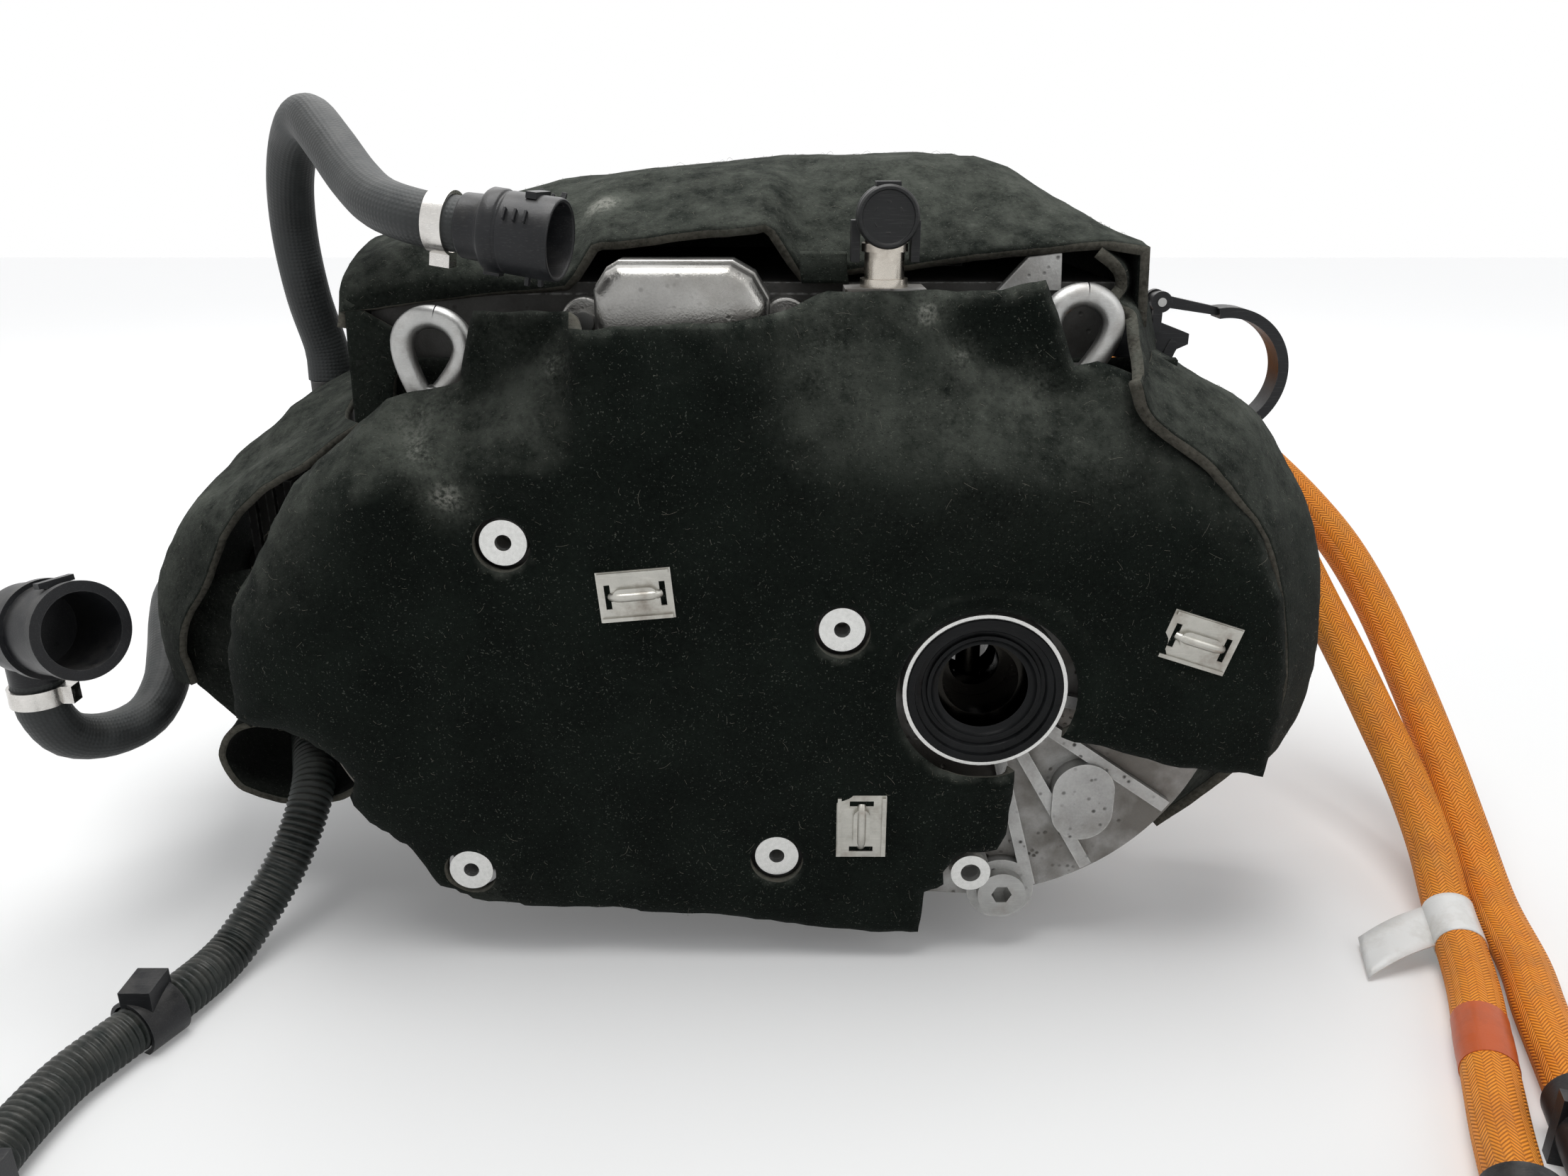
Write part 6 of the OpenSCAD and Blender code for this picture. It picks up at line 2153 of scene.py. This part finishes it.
@dataclass
class TerminalLid:
    """The cast lid over the terminals: a rounded front, a groove round it and bolted ears."""

    low: Point = (-0.200, 0.018, 0.160)
    high: Point = (-0.114, 0.062, 0.216)
    cut: float = 0.012
    ears: ClassVar[list[float]] = [-0.209, -0.105]
    ear_z: float = 0.185
    ear_r: float = 0.0125
    ear_y: float = 0.052
    steps: ClassVar[list[Row]] = metres(
        (0, 7.5), (1, 4.5), (3, 2.2), (6, 0.8), (9.5, 0.4), (18.5, 0), (19, 2.6), (21.8, 2.6),
        (22.4, -0.8), (40, -0.8), (44, 0))

    def outline(self) -> list[Spot]:
        """The lid seen from the front: square below, cut and rounded above.

        Returns:
            Points of x and z.
        """
        (x0, _, z0), (x1, _, z1), cut = self.low, self.high, self.cut
        knots = [
            (x0, z0), (x0, z1 - cut), (x0 + cut * 0.5, z1 - cut * 0.28), (x0 + cut, z1),
            (x1 - cut * 1.5, z1), (x1 - cut * 0.6, z1 - cut * 0.5), (x1, z1 - cut * 1.5), (x1, z0)]
        spots: list[Spot] = []
        for (ax, az), (bx, bz) in zip(knots, knots[1:] + knots[:1]):
            spots += [(ax + (bx - ax) * t, az + (bz - az) * t) for t in (0.0, 0.12, 0.5, 0.88)]
        return spots

    def build(self) -> None:
        """Lofts the lid from front to back and adds its ears."""
        (x0, y0, z0), (x1, _, z1) = self.low, self.high
        cx, cz = (x0 + x1) / 2, (z0 + z1) / 2
        half_x, half_z = (x1 - x0) / 2, (z1 - z0) / 2
        skin = Skin()
        last: list[int] = []
        for depth, inset in self.steps:
            wide, tall = 1 - inset / half_x, 1 - inset / half_z
            shape = [(cx + (x - cx) * wide, cz + (z - cz) * tall) for x, z in self.outline()]
            ring = skin.ring(Vector((x, y0 + depth, z)) for x, z in shape)
            if last:
                skin.bridge(last, ring, 0.0, depth)
            else:
                skin.face(ring[::-1])
            last = ring
        skin.face(last)
        r = self.ear_r
        for x in self.ears:
            ear = Axes.aimed((x, self.ear_y, self.ear_z), (0, -1, 0))
            skin.lathe(ear, [(r, -0.010), (r, -0.001), (r - 0.001, 0), (0, 0)], 32)
        skin.piece("terminal_lid_casting", Palette.LID, sharp=32.0, rounded=0.0008, node="terminal_lid")


@dataclass
class BreatherCap:
    """The vent cap: a grooved disc with a sunk face, on legs that clip over the pipe."""

    centre: Point = (-0.056, 0.038, 0.238)
    radius: float = 0.015
    depth: float = 0.018
    pipe: Point = (-0.056, 0.040, 0.230)
    pipe_r: float = 0.010

    def build(self) -> None:
        """Turns the disc and sets the pips, the flat and the legs."""
        skin = Skin()
        axes = Axes.aimed(self.centre, (0, -1, 0))
        r, d = self.radius, self.depth
        disc = [
            (0, 0), (r - 0.0012, 0), (r, 0.0012), (r, 0.0060), (r - 0.0016, 0.0066), (r - 0.0016, 0.0082),
            (r, 0.0088), (r, d - 0.0014), (r - 0.0010, d), (r - 0.0022, d), (r - 0.0026, d - 0.0010),
            (r - 0.0034, d - 0.0012), (0.0060, d - 0.0012), (0.0030, d - 0.0010), (0, d - 0.0009)]
        skin.lathe(axes, disc, 56)
        for k in range(6):
            pip = axes.turned(60.0 * k)
            skin.block(pip, (-0.0011, 0.0068, d - 0.0014), (0.0011, 0.0074, d - 0.0009))
        skin.block(axes, (-0.0060, r - 0.0010, 0.0020), (0.0060, r + 0.0012, d - 0.0040))
        stand = Axes.aimed(self.pipe, (0, 0, 1), (0, 1, 0))
        cup = self.pipe_r + 0.0015
        skin.lathe(stand, [(0.0085, -0.001), (cup, 0), (cup, 0.007), (0.006, 0.009), (0, 0.009)], 32)
        for side in (-1, 1):
            leg = stand.shifted(side * (self.pipe_r + 0.0048), 0, 0)
            skin.block(leg, (-0.0022, -0.0050, -0.014), (0.0022, 0.0050, 0.006))
        skin.piece("breather_cap_moulding", Palette.CAP, sharp=34.0, rounded=0.0004, node="breather_cap")


@dataclass
class ClipBars:
    """The pressed bars that run from slot to slot across the felt clips."""

    half: float = 0.0122
    foot: float = 0.0002
    rise: float = 0.0028
    radius: float = 0.0025

    def build(self) -> None:
        """Sweeps one bar on each clip, low at its ends."""
        skin = Skin()
        for x, z, angle in FELT_CLIPS:
            axes = Axes.aimed((x, FELT_FACE_Y, z), (0, -1, 0)).turned(angle)
            turns = [2 * i / 24 - 1 for i in range(25)]
            line = [axes.at(self.half * t, 0, self.foot + self.rise * (1 - t ** 6)) for t in turns]
            skin.tube(line, lambda s: self.radius, 16)
        skin.piece("felt_clip_bars", Palette.SPRING, sharp=60.0)


@dataclass
class InverterBracket:
    """The bare plate at the inverter's front, below the top cover's edge."""

    plate: ClassVar[list[Row]] = metres((4, 200), (19, 217), (36, 219), (37, 200))
    front: float = 0.0560
    back: float = 0.0630

    def build(self) -> None:
        """Cuts the plate and breaks its edges."""
        skin = Skin()
        axes = Axes.aimed((0, self.back, 0), (0, -1, 0))
        skin.prism(axes, self.plate, 0.0, self.back - self.front)
        skin.piece("inverter_bracket_plate", Palette.CASE, sharp=34.0, rounded=0.0006)


@dataclass
class OilSeals:
    """The two lip seals that close the output openings."""

    faces: ClassVar[list[tuple[float, float]]] = [(0.0, -1.0), (0.140, 1.0)]
    radius: float = 0.0382
    section: ClassVar[list[Row]] = metres(
        (0, -8), (0, 2.1), (3, 2.1), (3.2, 2.6), (2.6, 3.1), (-1, 2.9), (-1.6, 0.6), (-4.2, 0),
        (-5, -0.7), (-5.6, -3), (-7.6, -3.4), (-8.2, -1.8), (-10, -1.6), (-10.8, -3.2), (-12.4, -4.6),
        (-14.2, -5.2), (-13.6, -6.8), (-11.2, -8), (0, -8))

    def build(self) -> None:
        """Turns each seal: a lapped flange, a shell, a stepped web and a lip with its spring groove."""
        skin = Skin()
        section = [(self.radius + across, out) for across, out in self.section]
        for place, out in self.faces:
            skin.lathe(Axes.aimed((0, place, 0), (0, out, 0)), section, 96)
        skin.piece("oil_seal_lips", Palette.SEAL, sharp=40.0, node="output_seals")


@dataclass
class UpperConnector:
    """The quick connector on the upper hose, with its flange, ribs and tabs."""

    end: Point = (-0.256, 0.010, 0.235)
    heading: Point = (0.0214, -0.0043, -0.0030)
    profile: ClassVar[list[Row]] = metres(
        (0, 4), (12.8, 0), (15, 1.2), (15.4, 10), (16, 12.2), (18.6, 13.6), (19.3, 14.8), (19.3, 20.6),
        (18.8, 21.4), (18.3, 21.8), (18.3, 22.8), (18.8, 23.4), (19.1, 46.5), (18.6, 48), (17.2, 48),
        (16.8, 47), (16.4, 18), (0, 18))
    ribs: ClassVar[list[tuple[float, float, float, float, float]]] = [
        (150, 0.0264, 0.0276, 0.0030, 0.0212), (150, 0.0314, 0.0326, 0.0030, 0.0212),
        (150, 0.0364, 0.0376, 0.0030, 0.0212), (62, 0.0320, 0.0345, 0.0010, 0.0232),
        (60, 0.0382, 0.0395, 0.0010, 0.0222), (62, 0.0430, 0.0455, 0.0010, 0.0232),
        (262, 0.0330, 0.0350, 0.0016, 0.0228), (276, 0.0375, 0.0395, 0.0016, 0.0228),
        (268, 0.0120, 0.0200, 0.0030, 0.0206)]

    def build(self) -> Piece:
        """Turns the barrel and stands the ribs and tabs on it.

        Returns:
            The connector.
        """
        skin = Skin()
        axes = Axes.aimed(self.end, self.heading)
        skin.lathe(axes, self.profile, 64)
        for angle, low, high, half, reach in self.ribs:
            skin.block(axes.turned(angle), (0.0165, -half, low), (reach, half, high))
        return skin.piece(
            "upper_connector_moulding", Palette.PLASTIC, sharp=34.0, rounded=0.0004, node="upper_connector")


@dataclass
class Lint:
    """Stray pale fibres that cling to the felt."""

    seed: int = 31
    per_square_metre: float = 5600.0
    thickness: float = 0.00006
    span: Spot = (0.0009, 0.0028)
    long_span: Spot = (0.0040, 0.0080)
    long_share: float = 0.05
    gap: float = 0.0002

    def scatter(self, name: str, sheet: Piece, share: float) -> None:
        """Lays short curled fibres on a sheet's outer face.

        Args:
            name: the piece's name.
            sheet: the felt cover that carries them.
            share: how thickly they lie, as a share of the usual.
        """
        draw = random.Random(self.seed)
        skin = Skin()
        for face in sheet.data.polygons:
            if draw.random() > face.area * self.per_square_metre * share:
                continue
            normal = face.normal.copy()
            heading = normal.orthogonal().normalized()
            side = normal.cross(heading)
            c, s = polar(1.0, draw.uniform(0, 360))
            forward, aside = c * heading + s * side, c * side - s * heading
            length = draw.uniform(*(self.long_span if draw.random() < self.long_share else self.span))
            curl, lift = draw.uniform(-0.5, 0.5), draw.uniform(0.1, 0.35)
            line = []
            for i in range(5):
                t = i / 4
                arch = lift * length * math.sin(math.pi * t)
                spot = face.center + forward * length * (t - 0.5) + aside * curl * length * t * t
                line.append(spot + normal * (arch + self.gap))
            skin.tube(line, lambda s: self.thickness, 3)
        skin.piece(name, Palette.LINT)


@dataclass
class Castings:
    """The solid parts that keep their own shape, by the finish that they take."""

    finishes: ClassVar[dict[Finish, tuple[str, ...]]] = {
        Palette.CAST: ("gearbox_cover",),
        Palette.CASE: ("gearbox_housing", "motor_housing", "rear_cover"),
        Palette.LAMINATE: ("stator_core", "rotor_core"),
        Palette.COPPER: ("stator_windings", "phase_busbars"),
        Palette.MAGNET: ("rotor_magnets",),
        Palette.GEAR: ("rotor_shaft", "intermediate_shaft", "intermediate_gear"),
        # The differential parts take near-black steel: oil film and painted shade.
        Palette.OILED_AND_SHADED: (
            "ring_gear", "differential_case", "cross_pin", "planet_gear_upper", "planet_gear_lower",
            "side_gear_front", "side_gear_rear", "bearing_outer_rings", "differential_inner_rings"),
        Palette.BEARING: ("intermediate_inner_rings", "rotor_inner_rings"),
        Palette.BOLT: ("drain_plug", "clip_pin", "case_bolts"),
        Palette.PIPE: ("breather_pipe",),
        # These three take the painted shade of SHADED.
        Palette.SHADED: ("inverter_housing", "inverter_lid", "oil_cooler"),
        Palette.MODULE: ("power_module",),
        Palette.BOARD: ("control_board",),
        Palette.PLASTIC: (
            "hv_glands", "upper_latch", "lower_connector", "lower_latch", "clip_bracket", "clip_strap",
            "hv_connector", "conduit_clip", "lv_connector"),
        Palette.STAINLESS: ("upper_clamp", "lower_clamp"),
        Palette.SPRING: ("felt_clips",),
    }

    def dress(self) -> None:
        """Gives each solid part its finish."""
        for finish, names in self.finishes.items():
            for name in names:
                mesh = frame["nodes"][name].data
                mesh.materials.clear()
                mesh.materials.append(finish.material())
                LOG.info("dressed %s in %s", name, finish.name)


def write_sizes() -> None:
    """Writes the solid model's box and the dressed model's box side by side."""
    boxes = {"cad": CAD_BOX, "visual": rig.bounds()}
    plain = {name: [[float(c) for c in corner] for corner in box] for name, box in boxes.items()}
    with open(SIZE_FILE, "w", encoding="utf-8") as handle:
        json.dump(plain, handle)


def main() -> None:
    """Builds the studio, then the leads, the felt and the rest of the drive unit."""
    logging.basicConfig(level=logging.INFO, format="%(message)s")
    Studio().build()
    Leads().build()
    front = FrontFelt().build()
    band, top, left, _ = WrapFelt().build()
    lint = Lint()
    lint.scatter("front_lint", front, 1.0)
    lint.scatter("band_lint", band, 1.0)
    lint.scatter("top_lint", top, 0.6)
    lint.scatter("left_lint", left, 0.5)
    OilSeals().build()
    InverterBracket().build()
    ClipBars().build()
    Eyes().build()
    TerminalLid().build()
    BreatherCap().build()
    Castings().dress()
    write_sizes()


if __name__ == "__main__":
    main()
